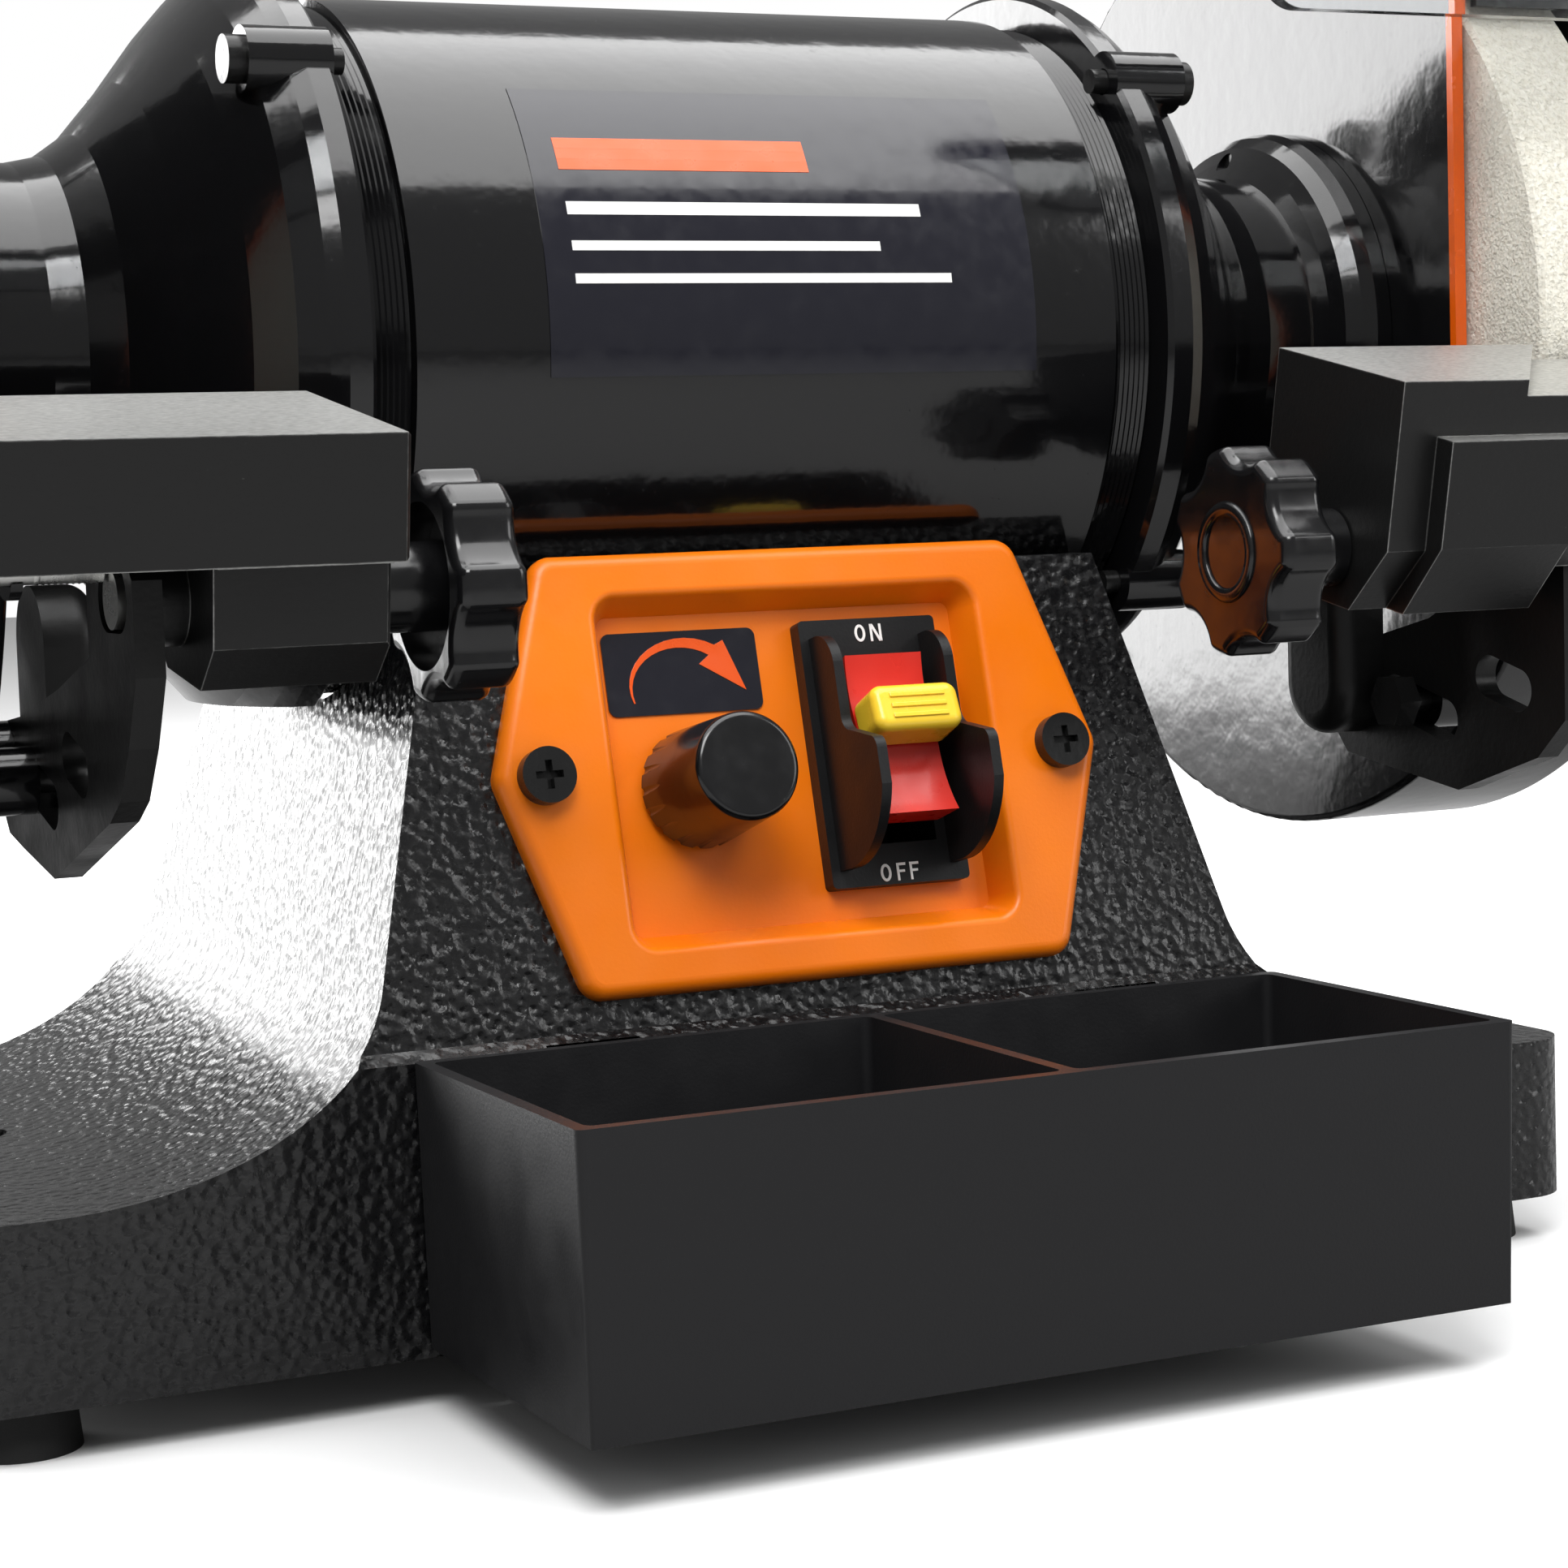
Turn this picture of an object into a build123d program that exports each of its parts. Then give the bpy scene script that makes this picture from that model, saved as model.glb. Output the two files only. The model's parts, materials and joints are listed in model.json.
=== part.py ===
"""Six-inch variable-speed bench grinder, built as separate pieces.

The shaft runs along X, the operator stands on the -Y side and the bench is the plane Z = 0.
Sketches on axis_front and axis_side are measured from the centre of the shaft.
"""

import os
from math import atan, atan2, cos, degrees, hypot, radians, sin, sqrt

from build123d import *

os.makedirs("parts", exist_ok=True)

# ---------------------------------------------------------------- driving dimensions (mm)
shaft_height = 157.0  # shaft centre above the bench
running_gap = 0.05  # radial clearance of turning fits
slip_gap = 0.1  # clearance round parts that only locate each other
loose_gap = 0.3  # clearance between parts that move past each other
screw_gap = 0.2  # radial clearance of a screw in a plain hole

# motor
shell_r = 56.4
shell_half = 59.7
shell_wall = 1.6
spigot_r = 55.0
spigot_end = 67.2
rim_r = 61.0
rim_end = 74.0
rim_flat = 55.5  # height of the flat under each rim, below the shaft
neck_r = 30.0
hub_r = 38.0
bell_end = 126.9
bearing_r = 17.5
bearing_bore = 7.5
bearing_width = 11.0
bearing_start = 101.0
rotor_r = 32.6
rotor_half = 23.0
air_gap = 0.6
stator_half = 22.0
core_shaft_r = 9.0
bell_screw_radius = 58.6
bell_lug_h = 13.0
bell_screw_angles = (45, 135, 225, 315)
guard_screw_radius = 32.7
guard_screw_angles = (90, 210, 330)
m4 = 2.0
m5 = 2.5
m6 = 3.0

# wheels and guards
wheel_d = 152.0
wheel_t = 20.0
wheel_x = 140.0
arbor_r = 6.35
arbor_end = 169.0
blotter_t = 0.5
blotter_r = 27.0
flange_r = 25.0
flange_t = 5.0
nut_t = 9.0
nut_af = 19.0
guard_r = 89.0
guard_x = 127.0
guard_sheet = 1.6
guard_depth = 29.3
cover_lip = 2.6
cover_dome_r = 38.0
cover_dome_h = 12.0
opening_y = 56.0  # the guard is cut away in front of this
opening_low = 29.0  # and above this depth below the shaft
trim_w = 1.6
trim_wall = 0.3
lug_radius = 95.0
lug_r = 5.0
lug_angles = (199.5, 80.0, 320.0)

# base
rubber_h = 8.0  # the rubber feet hold the casting off the bench
foot_t = 27.0
slope_stop = 18.0  # the inclined faces end this far above the feet
base_drop = shaft_height - rubber_h  # underside of the casting below the shaft
foot_drop = base_drop - foot_t
slope_drop = foot_drop - slope_stop
top_half = 57.4  # half width of the pedestal at its top
top_drop = 36.2  # pedestal top below the shaft
slope_half = 74.4  # half width where the inclined faces end
flank_drop = slope_drop - 9.0  # where the flanks start to curve outwards
top_depth = 50.8  # half depth at the pedestal top
slope_depth = 67.7
foot_half = 140.0
foot_depth = 70.0
casting_wall = 5.0
foot_corner = 9.0
flank_end = foot_half - 16.0  # where the flanks meet the flat top of the feet
bench_hole_x = foot_half - 22.0
bench_hole_r = 4.2
rubber_x = foot_half - 14.0
rubber_y = foot_depth - 14.0
rubber_r = 9.0
rubber_recess_r = 5.2
plate_t = 1.5
plate_half = rubber_x - 20.0
plate_screw_x = rubber_x - 30.0
plate_screw_y = foot_depth - 16.0
motor_bolt_pitch = 60.0
gland_r = 8.0
gland_bore_r = 4.0
gland_x = -50.0
gland_drop = base_drop - 21.0

# control panel, measured on the inclined face
panel_drop = 66.7  # centre of the panel below the shaft
panel_half_top = 41.2
panel_half_mid = 51.8
panel_half_h = 34.0
panel_t = 3.0
recess_half_w = 33.0
recess_half_h = 27.3
recess_depth = 5.5
panel_wall = 2.0
panel_round = 2.2
rim_round = 1.4
knob_xy = (-17.6, -2.7)
knob_len = 21.0
knob_r = 8.3  # at the grip
knob_base_r = 9.4
spindle_r = 3.0
bush_wall = 0.6
switch_xy = (14.2, 1.0)
switch_w = 24.0
switch_h = 42.6
switch_plate_t = 3.0
rocker_half = 13.3
rocker_lean = 11.5  # the top is pressed in at rest
rocker_face = 8.0  # ends of the paddle above its pivot
cheek_t = 1.7
cheek_inset = 1.5
cheek_space = switch_w / 2 - cheek_inset - cheek_t  # from the middle to either cheek
rocker_side_gap = 2.1
rocker_w = 2 * (cheek_space - rocker_side_gap)
cheek_low = 7.6  # cheeks above the plate, beside the upper half of the rocker
cheek_high = 18.3
key_shift = 0.6  # the key's head sits off the middle
key_side_gap = 0.7
key_w = 2 * (cheek_space - key_shift - key_side_gap)
key_h = 7.6
key_t = 7.0
key_up = 2.0  # centre of the key above the pivot, along the rocker
key_seat = 7.4  # underside of the key above the pivot
key_tongue_w = 8.0
key_tongue_t = 2.4
label_xy = (-17.2, 15.8)
label_w = 26.0
label_h = 13.0
panel_screw_x = 44.2

# water tray
tray_half = 73.8
tray_x = 3.9
tray_front = 134.6
tray_gap = 1.0
tray_drop = slope_drop + 1.0
tray_h = 42.0
tray_wall = 2.2
tray_draft = 1.0
hook_x = 45.0
hook_w = 14.0
hook_seat = slope_drop + 12.0  # bottoms of the hook sockets below the shaft
hook_t = 3.2

# tool rests
bracket_x = 112.0
bracket_t = 4.0
boss_t = 9.0
boss_long = 34.0
boss_wide = 18.0
boss_rise = 8.0  # centre of the boss above its screw
boss_round = 3.5
clamp_end = 107.0  # outboard ends of the rests' clamp blocks
rest_axis_y = 92.0
rest_axis_drop = 36.0
rest_bolt_r = 4.0
rest_slot_in = 2.0  # how far the bolt may move towards the wheel in its slot
rest_slot_out = 4.0  # and away from it
table_t = 8.0
left_rest = dict(inner=83.0, outer=166.0, tilt=9.3, back=77.5, depth=43.0, top=8.6, thick=17.8)
skirt_thin = 6.4  # how much shallower the left skirt is at its outer end
right_rest = dict(inner=76.0, outer=166.0, tilt=11.6, back=79.0, depth=34.0, top=4.4, thick=26.0)
screw_tip = 116.4  # inboard ends of the guard cover screws
star_r = 16.2
star_t = 10.0
star_x = {"left": 63.0, "right": 57.0}  # inboard faces of the star knobs
star_back_r = 11.6
star_sleeve_r = 6.2
star_web = 4.0

# eye shields and spark arrestors
arrestor_t = 1.6
arrestor_w = 21.0
shield_w = 110.0
shield_h = 56.0
shield_t = 3.0
pivot_y = 74.0
pivot_z = 96.0
arm_holes = ((-36.0, 67.0), (-46.0, 71.0))

# ---------------------------------------------------------------- planes and helpers
axis_front = Plane((0, 0, shaft_height), x_dir=(1, 0, 0), z_dir=(0, -1, 0))
axis_side = Plane((0, 0, shaft_height), x_dir=(0, 1, 0), z_dir=(1, 0, 0))
shaft_axis = Axis((0, 0, shaft_height), (1, 0, 0))
face_slope = (slope_depth - top_depth) / (slope_drop - top_drop)
side_slope = (slope_half - top_half) / (slope_drop - top_drop)
face_tilt = degrees(atan(face_slope))
panel_y = top_depth + (panel_drop - top_drop) * face_slope
panel_plane = Plane(
    (0, -panel_y, shaft_height - panel_drop),
    x_dir=(1, 0, 0),
    z_dir=(0, -cos(radians(face_tilt)), sin(radians(face_tilt))),
)
SIDES = (("left", -1), ("right", 1))


def finish(builder, node):
    """Label a finished piece and write it."""
    builder.part.label = node
    export_step(builder.part, f"parts/{node}.step")


def side_at(x):
    """The plane across the shaft at x."""
    return axis_side.offset(x)


def turned(points):
    """Solid of revolution about the shaft from (x, radius) points."""
    with BuildSketch(axis_front) as profile:
        with BuildLine():
            Polyline(*points, close=True)
        make_face()
    revolve(profile.sketch, axis=shaft_axis)


def disc(x, radius, thickness, mode=Mode.ADD, at=(0, 0)):
    """Round plate across the shaft, from x by a signed thickness."""
    with BuildSketch(side_at(x)) as profile:
        with Locations(at):
            Circle(radius)
    extrude(profile.sketch, amount=thickness, mode=mode)


def polar(radius, angle):
    """Point at an angle from +Y in the plane across the shaft."""
    return (radius * cos(radians(angle)), radius * sin(radians(angle)))


# ---------------------------------------------------------------- base
flank_start = (slope_half - (slope_drop - flank_drop) * side_slope, -flank_drop)
inner_top = spigot_r + 9.0


def flank_lead(inset):
    """Where a flank's curve starts, and the point it heads for."""
    start = (flank_start[0] - inset, flank_start[1])
    lead = 15.0
    tangent = hypot(side_slope, 1.0)
    return start, (start[0] + lead * side_slope / tangent, start[1] - lead / tangent)


with BuildPart() as base_core:
    # the foundry core that leaves the base hollow
    with BuildSketch(axis_front) as core_front:
        with BuildLine():
            start, control = flank_lead(casting_wall)
            core_top = (top_half + (inner_top - top_drop) * side_slope - casting_wall, -inner_top)
            foot_in = foot_drop + casting_wall
            Line((0, -inner_top), core_top)
            Line(core_top, start)
            core_end = flank_end - casting_wall - 1.0
            Bezier(start, control, (core_end - 28.0, -foot_in), (core_end, -foot_in))
            Line((core_end, -foot_in), (foot_half - casting_wall, -foot_in))
            Line((foot_half - casting_wall, -foot_in), (foot_half - casting_wall, -base_drop))
            Line((foot_half - casting_wall, -base_drop), (0, -base_drop))
            Line((0, -base_drop), (0, -inner_top))
        make_face()
        mirror(about=Plane.YZ)
    extrude(core_front.sketch, amount=foot_depth, both=True)
    with BuildSketch(axis_side) as core_side:
        with BuildLine():
            core_y = top_depth + (inner_top - top_drop) * face_slope - casting_wall
            Polyline(
                (0, -inner_top),
                (core_y, -inner_top),
                (slope_depth - casting_wall, -slope_drop),
                (foot_depth - casting_wall, -slope_drop),
                (foot_depth - casting_wall, -base_drop),
                (0, -base_drop),
                close=True,
            )
        make_face()
        mirror(about=Plane.YZ)
    extrude(core_side.sketch, amount=foot_half, both=True, mode=Mode.INTERSECT)

with BuildPart() as base_casting:
    with BuildSketch(axis_front) as front_outline:
        with BuildLine():
            start, control = flank_lead(0)
            Line((0, -top_drop), (top_half, -top_drop))
            Line((top_half, -top_drop), start)
            Bezier(start, control, (flank_end - 29.0, -foot_drop), (flank_end, -foot_drop))
            Line((flank_end, -foot_drop), (foot_half, -foot_drop))
            Line((foot_half, -foot_drop), (foot_half, -base_drop))
            Line((foot_half, -base_drop), (0, -base_drop))
            Line((0, -base_drop), (0, -top_drop))
        make_face()
        mirror(about=Plane.YZ)
    extrude(front_outline.sketch, amount=foot_depth, both=True)
    with BuildSketch(axis_side) as side_outline:
        with BuildLine():
            Polyline(
                (0, -top_drop),
                (top_depth, -top_drop),
                (slope_depth, -slope_drop),
                (foot_depth, -slope_drop - 1.5),
                (foot_depth, -base_drop),
                (0, -base_drop),
                close=True,
            )
        make_face()
        mirror(about=Plane.YZ)
    extrude(side_outline.sketch, amount=foot_half, both=True, mode=Mode.INTERSECT)
    upright = base_casting.edges().filter_by(Axis.Z)
    corners = upright.filter_by(lambda edge: abs(edge.center().X) > foot_half - 1.0)
    fillet(corners, foot_corner)
    add(base_core.part, mode=Mode.SUBTRACT)
    # saddle under the motor
    with BuildSketch(axis_side) as saddle:
        Circle(shell_r + slip_gap)
    extrude(saddle.sketch, amount=foot_half, both=True, mode=Mode.SUBTRACT)
    # bosses for the rubber feet and the bottom plate
    boss_top = foot_drop + 1.0
    with BuildSketch(Plane.XY.offset(shaft_height - base_drop)) as bosses:
        with GridLocations(2 * rubber_x, 2 * rubber_y, 2, 2):
            Circle(7.5)
    extrude(bosses.sketch, amount=base_drop - boss_top)
    with BuildSketch(Plane.XY.offset(shaft_height - base_drop + plate_t + 0.5)) as plate_bosses:
        with GridLocations(2 * plate_screw_x, 2 * plate_screw_y, 2, 2):
            Circle(5.5)
    extrude(plate_bosses.sketch, amount=base_drop - boss_top - plate_t - 1.5)
    # threaded holes in the bosses
    with BuildSketch(Plane.XY.offset(shaft_height - base_drop)) as tapped:
        with GridLocations(2 * rubber_x, 2 * rubber_y, 2, 2):
            Circle(m5)
        with GridLocations(2 * plate_screw_x, 2 * plate_screw_y, 2, 2):
            Circle(m4)
    extrude(tapped.sketch, amount=16.0, mode=Mode.SUBTRACT)
    # bench bolt holes in the feet
    with BuildSketch(Plane.XY.offset(shaft_height - base_drop)) as bench_holes:
        with GridLocations(2 * bench_hole_x, 0, 2, 1):
            Circle(bench_hole_r)
    extrude(bench_holes.sketch, amount=40.0, mode=Mode.SUBTRACT)
    # opening behind the control panel
    with BuildSketch(panel_plane) as window:
        Rectangle(2 * recess_half_w + 5.0, 2 * recess_half_h + 5.0)
    extrude(window.sketch, amount=-22.0, mode=Mode.SUBTRACT)
    with BuildSketch(panel_plane) as panel_taps:
        with GridLocations(2 * panel_screw_x, 0, 2, 1):
            Circle(m4)
    extrude(panel_taps.sketch, amount=-12.0, mode=Mode.SUBTRACT)
    # sockets for the tray hooks
    with BuildSketch(axis_front.offset(foot_depth - casting_wall - 1.0)) as sockets:
        with Locations((tray_x - hook_x, -hook_seat + 5.5), (tray_x + hook_x, -hook_seat + 5.5)):
            Rectangle(hook_w + 1.0, 11.0)
    extrude(sockets.sketch, amount=casting_wall + 2.0, mode=Mode.SUBTRACT)
    # holes for the motor bolts through the saddle, and the cord gland at the back
    with BuildSketch(Plane.XY.offset(shaft_height - spigot_r - 20.0)) as motor_holes:
        with GridLocations(motor_bolt_pitch, 0, 2, 1):
            Circle(m6 + screw_gap)
    extrude(motor_holes.sketch, amount=25.0, mode=Mode.SUBTRACT)
    with BuildSketch(Plane.XZ.offset(-foot_depth - 1.0)) as gland_hole:
        with Locations((gland_x, shaft_height - gland_drop)):
            Circle(gland_r + screw_gap)
    extrude(gland_hole.sketch, amount=casting_wall + 3.0, mode=Mode.SUBTRACT)
finish(base_casting, "base_casting")

with BuildPart() as rubber_feet:
    with BuildSketch() as pads:
        with GridLocations(2 * rubber_x, 2 * rubber_y, 2, 2):
            Circle(rubber_r)
    extrude(pads.sketch, amount=rubber_h, taper=6)
    with BuildSketch(Plane.XY) as recesses:
        with GridLocations(2 * rubber_x, 2 * rubber_y, 2, 2):
            Circle(rubber_recess_r)
    extrude(recesses.sketch, amount=4.5, mode=Mode.SUBTRACT)
    with BuildSketch(Plane.XY) as holes:
        with GridLocations(2 * rubber_x, 2 * rubber_y, 2, 2):
            Circle(m5 + screw_gap)
    extrude(holes.sketch, amount=20, mode=Mode.SUBTRACT)
finish(rubber_feet, "rubber_feet")

with BuildPart() as foot_screws:
    with BuildSketch(Plane.XY.offset(1.2)) as heads:
        with GridLocations(2 * rubber_x, 2 * rubber_y, 2, 2):
            Circle(4.6)
    extrude(heads.sketch, amount=3.3)
    with BuildSketch(Plane.XY.offset(4.0)) as shanks:
        with GridLocations(2 * rubber_x, 2 * rubber_y, 2, 2):
            Circle(m5)
    extrude(shanks.sketch, amount=17.0)
finish(foot_screws, "foot_screws")

with BuildPart() as bottom_plate:
    plate_z = shaft_height - base_drop + 0.4
    with BuildSketch(Plane.XY.offset(plate_z)) as sheet:
        Rectangle(2 * plate_half, 2 * (foot_depth - casting_wall) - 1.0)
        with GridLocations(2 * plate_screw_x, 2 * plate_screw_y, 2, 2):
            Circle(m4 + screw_gap, mode=Mode.SUBTRACT)
        with GridLocations(14.0, 0, 7, 1):
            SlotOverall(30.0, 4.0, rotation=90, mode=Mode.SUBTRACT)
    extrude(sheet.sketch, amount=plate_t)
finish(bottom_plate, "bottom_plate")

with BuildPart() as bottom_plate_screws:
    with BuildSketch(Plane.XY.offset(plate_z - 2.4)) as heads:
        with GridLocations(2 * plate_screw_x, 2 * plate_screw_y, 2, 2):
            Circle(4.0)
    extrude(heads.sketch, amount=2.4)
    with BuildSketch(Plane.XY.offset(plate_z - 0.5)) as shanks:
        with GridLocations(2 * plate_screw_x, 2 * plate_screw_y, 2, 2):
            Circle(m4)
    extrude(shanks.sketch, amount=11.0)
finish(bottom_plate_screws, "bottom_plate_screws")

with BuildPart() as cord_gland:
    gland_at = (gland_x, shaft_height - gland_drop)
    with BuildSketch(Plane.XZ.offset(-foot_depth + casting_wall + 2.5)) as body:
        with Locations(gland_at):
            Circle(gland_r)
    extrude(body.sketch, amount=-casting_wall - 9.0)
    with BuildSketch(Plane.XZ.offset(-foot_depth)) as collar:
        with Locations(gland_at):
            RegularPolygon(10.5, 6)
    extrude(collar.sketch, amount=-4.5)
    with BuildSketch(Plane.XZ.offset(-foot_depth + casting_wall + 3.0)) as bore:
        with Locations(gland_at):
            Circle(gland_bore_r)
    extrude(bore.sketch, amount=-30.0, mode=Mode.SUBTRACT)
finish(cord_gland, "cord_gland")

# ---------------------------------------------------------------- motor
with BuildPart() as motor_shell:
    disc(-shell_half, shell_r, 2 * shell_half)
    disc(-shell_half, shell_r - shell_wall, 2 * shell_half, mode=Mode.SUBTRACT)
    with BuildSketch(Plane.XY.offset(shaft_height - spigot_r - 20.0)) as bolt_holes:
        with GridLocations(motor_bolt_pitch, 0, 2, 1):
            Circle(m6 + screw_gap)
    extrude(bolt_holes.sketch, amount=25.0, mode=Mode.SUBTRACT)
finish(motor_shell, "motor_shell")

with BuildPart() as motor_bolts:
    # two bolts hold the shell down on its saddle from inside the base
    with BuildSketch(Plane.XY.offset(shaft_height - inner_top - 5.0)) as heads:
        with GridLocations(motor_bolt_pitch, 0, 2, 1):
            RegularPolygon(5.6, 6)
    extrude(heads.sketch, amount=4.8)
    with BuildSketch(Plane.XY.offset(shaft_height - inner_top - 1.0)) as shanks:
        with GridLocations(motor_bolt_pitch, 0, 2, 1):
            Circle(m6)
    extrude(shanks.sketch, amount=14.0)
finish(motor_bolts, "motor_bolts")


def ridge_points(side):
    """Turned grooves round the spigot of an end bell."""
    pitch = (spigot_end - shell_half) / 8
    points = []
    for ridge in range(8):
        x = shell_half + ridge * pitch
        points.append((side * (x + 0.02), spigot_r - 0.35))
        points.append((side * (x + pitch / 2), spigot_r))
    points.append((side * spigot_end, spigot_r - 0.35))
    return points


for name, side in SIDES:
    with BuildPart() as end_bell:
        register_r = shell_r - shell_wall - running_gap
        outside = [(side * (shell_half - 6.0), register_r), (side * shell_half, register_r)]
        outside += ridge_points(side)
        outside += [
            (side * spigot_end, rim_r - 0.8),
            (side * (spigot_end + 0.8), rim_r),
            (side * (rim_end - 2.5), rim_r),
            (side * rim_end, rim_r - 1.2),
            (side * 78.0, 57.0),
            (side * 83.0, 51.5),
            (side * 90.0, 42.5),
            (side * 97.0, 34.5),
            (side * 102.0, 31.0),
            (side * 107.0, neck_r),
            (side * 116.0, neck_r),
            (side * 117.5, 33.0),
            (side * 119.0, 35.5),
            (side * 121.5, 37.3),
            (side * 124.0, hub_r),
            (side * bell_end, hub_r),
        ]
        inside = [
            (side * bell_end, flange_r + 2.3),
            (side * 123.0, flange_r + 2.3),
            (side * 123.0, core_shaft_r + 1.0),
            (side * (bearing_start + bearing_width), core_shaft_r + 1.0),
            (side * (bearing_start + bearing_width), bearing_r),
            (side * (bearing_start - 1.5), bearing_r),
            (side * (bearing_start - 1.5), bearing_r + 2.0),
            (side * 94.0, 30.0),
            (side * 84.0, 43.0),
            (side * 72.0, 50.5),
            (side * (shell_half - 6.0), 50.5),
        ]
        turned(outside + inside)
        for angle in bell_screw_angles:
            disc(side * spigot_end, 5.0, side * bell_lug_h, at=polar(bell_screw_radius, angle))
        with BuildSketch(axis_front) as flat:
            with Locations((side * 90.0, -rim_flat - 10.0)):
                Rectangle(60.0, 20.0)
        extrude(flat.sketch, amount=40.0, both=True, mode=Mode.SUBTRACT)
        for angle in bell_screw_angles:
            disc(side * 60.0, m4 + screw_gap, side * 25.0, Mode.SUBTRACT, polar(bell_screw_radius, angle))
        for angle in guard_screw_angles:
            disc(side * (bell_end - 10.0), m4, side * 12.0, Mode.SUBTRACT, polar(guard_screw_radius, angle))
    finish(end_bell, f"{name}_end_bell")

with BuildPart() as bell_screws:
    for name, side in SIDES:
        for angle in bell_screw_angles:
            at = polar(bell_screw_radius, angle)
            disc(side * (spigot_end - 2.6), m4, side * (bell_lug_h + 3.0), at=at)
            disc(side * (spigot_end + bell_lug_h), 3.6, side * 2.6, at=at)
finish(bell_screws, "bell_screws")

with BuildPart() as stator_core:
    disc(-stator_half, shell_r - shell_wall - running_gap, 2 * stator_half)
    disc(-stator_half, rotor_r + air_gap, 2 * stator_half, mode=Mode.SUBTRACT)
    with BuildSketch(side_at(-stator_half)) as slots:
        with PolarLocations(40.5, 24):
            Rectangle(11.0, 4.2)
        with PolarLocations(rotor_r + 2.0, 24):
            Rectangle(4.5, 1.6)
    extrude(slots.sketch, amount=2 * stator_half, mode=Mode.SUBTRACT)
finish(stator_core, "stator_core")

with BuildPart() as stator_windings:
    for side in (-1, 1):
        with BuildSketch(axis_front) as coil:
            with Locations((side * (stator_half + 9.0), 41.0)):
                RectangleRounded(17.0, 12.0, 4.5)
        revolve(coil.sketch, axis=shaft_axis)
finish(stator_windings, "stator_windings")

with BuildPart() as rotor_core:
    disc(-rotor_half, rotor_r, 2 * rotor_half)
    for side in (-1, 1):
        disc(side * rotor_half, rotor_r - 3.0, side * 5.0)
    disc(-rotor_half - 6.0, core_shaft_r, 2 * rotor_half + 12.0, mode=Mode.SUBTRACT)
finish(rotor_core, "rotor_core")

with BuildPart() as shaft:
    seat = bearing_bore
    shoulder = wheel_x - wheel_t / 2 - blotter_t - flange_t
    turned(
        [
            (-arbor_end, 0),
            (-arbor_end, arbor_r - 1.0),
            (-arbor_end + 1.0, arbor_r),
            (-shoulder, arbor_r),
            (-shoulder, seat),
            (-bearing_start, seat),
            (-bearing_start, core_shaft_r),
            (bearing_start, core_shaft_r),
            (bearing_start, seat),
            (shoulder, seat),
            (shoulder, arbor_r),
            (arbor_end - 1.0, arbor_r),
            (arbor_end, arbor_r - 1.0),
            (arbor_end, 0),
        ]
    )
finish(shaft, "shaft")

with BuildPart() as bearings:
    for name, side in SIDES:
        with BuildSketch(side_at(side * bearing_start)) as ring:
            Circle(bearing_r - 0.02)
            Circle(bearing_bore + running_gap, mode=Mode.SUBTRACT)
        extrude(ring.sketch, amount=side * bearing_width)
        for face in (bearing_start, bearing_start + bearing_width - 1.2):
            with BuildSketch(side_at(side * face)) as groove:
                Circle(bearing_r - 3.0)
                Circle(bearing_bore + 2.6, mode=Mode.SUBTRACT)
            extrude(groove.sketch, amount=side * 1.2, mode=Mode.SUBTRACT)
finish(bearings, "bearings")

# ---------------------------------------------------------------- wheels and arbor
wheel_in = wheel_x - wheel_t / 2
wheel_out = wheel_x + wheel_t / 2

for name, side in SIDES:
    with BuildPart() as wheel:
        disc(side * wheel_in, wheel_d / 2, side * wheel_t)
        disc(side * wheel_in, arbor_r + slip_gap, side * wheel_t, mode=Mode.SUBTRACT)
        chamfer(wheel.edges().filter_by(GeomType.CIRCLE).group_by(SortBy.RADIUS)[-1], 0.8)
    finish(wheel, f"{name}_wheel")

with BuildPart() as wheel_blotters:
    for name, side in SIDES:
        for face in (wheel_in - blotter_t, wheel_out):
            disc(side * face, blotter_r, side * blotter_t)
    disc(-arbor_end, arbor_r + slip_gap, 2 * arbor_end, mode=Mode.SUBTRACT)
finish(wheel_blotters, "wheel_blotters")

with BuildPart() as wheel_flanges:
    for name, side in SIDES:
        inner = wheel_in - blotter_t
        outer = wheel_out + blotter_t
        turned(
            [
                (side * inner, arbor_r + slip_gap),
                (side * (inner - flange_t), arbor_r + slip_gap),
                (side * (inner - flange_t), 14.0),
                (side * (inner - 2.4), flange_r),
                (side * inner, flange_r),
                (side * inner, flange_r - 6.0),
                (side * (inner - 0.8), flange_r - 6.5),
                (side * (inner - 0.8), 10.0),
                (side * inner, 9.0),
            ]
        )
        turned(
            [
                (side * outer, arbor_r + slip_gap),
                (side * (outer + flange_t), arbor_r + slip_gap),
                (side * (outer + flange_t), 14.0),
                (side * (outer + 2.4), flange_r),
                (side * outer, flange_r),
                (side * outer, flange_r - 6.0),
                (side * (outer + 0.8), flange_r - 6.5),
                (side * (outer + 0.8), 10.0),
                (side * outer, 9.0),
            ]
        )
finish(wheel_flanges, "wheel_flanges")

nut_x = wheel_out + blotter_t + flange_t
with BuildPart() as arbor_nuts:
    for name, side in SIDES:
        with BuildSketch(side_at(side * nut_x)) as hexagon:
            RegularPolygon(nut_af / 2, 6, major_radius=False)
            Circle(arbor_r + 0.02, mode=Mode.SUBTRACT)
        extrude(hexagon.sketch, amount=side * nut_t)
    chamfer(arbor_nuts.edges().filter_by(GeomType.CIRCLE), 0.5)
finish(arbor_nuts, "arbor_nuts")

# ---------------------------------------------------------------- wheel guards
guard_end = guard_x + guard_depth
bracket_points = {"left": ((-26.0, -60.0), (-41.0, -63.0)), "right": ((-46.0, -60.0), (-61.0, -63.0))}


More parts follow.
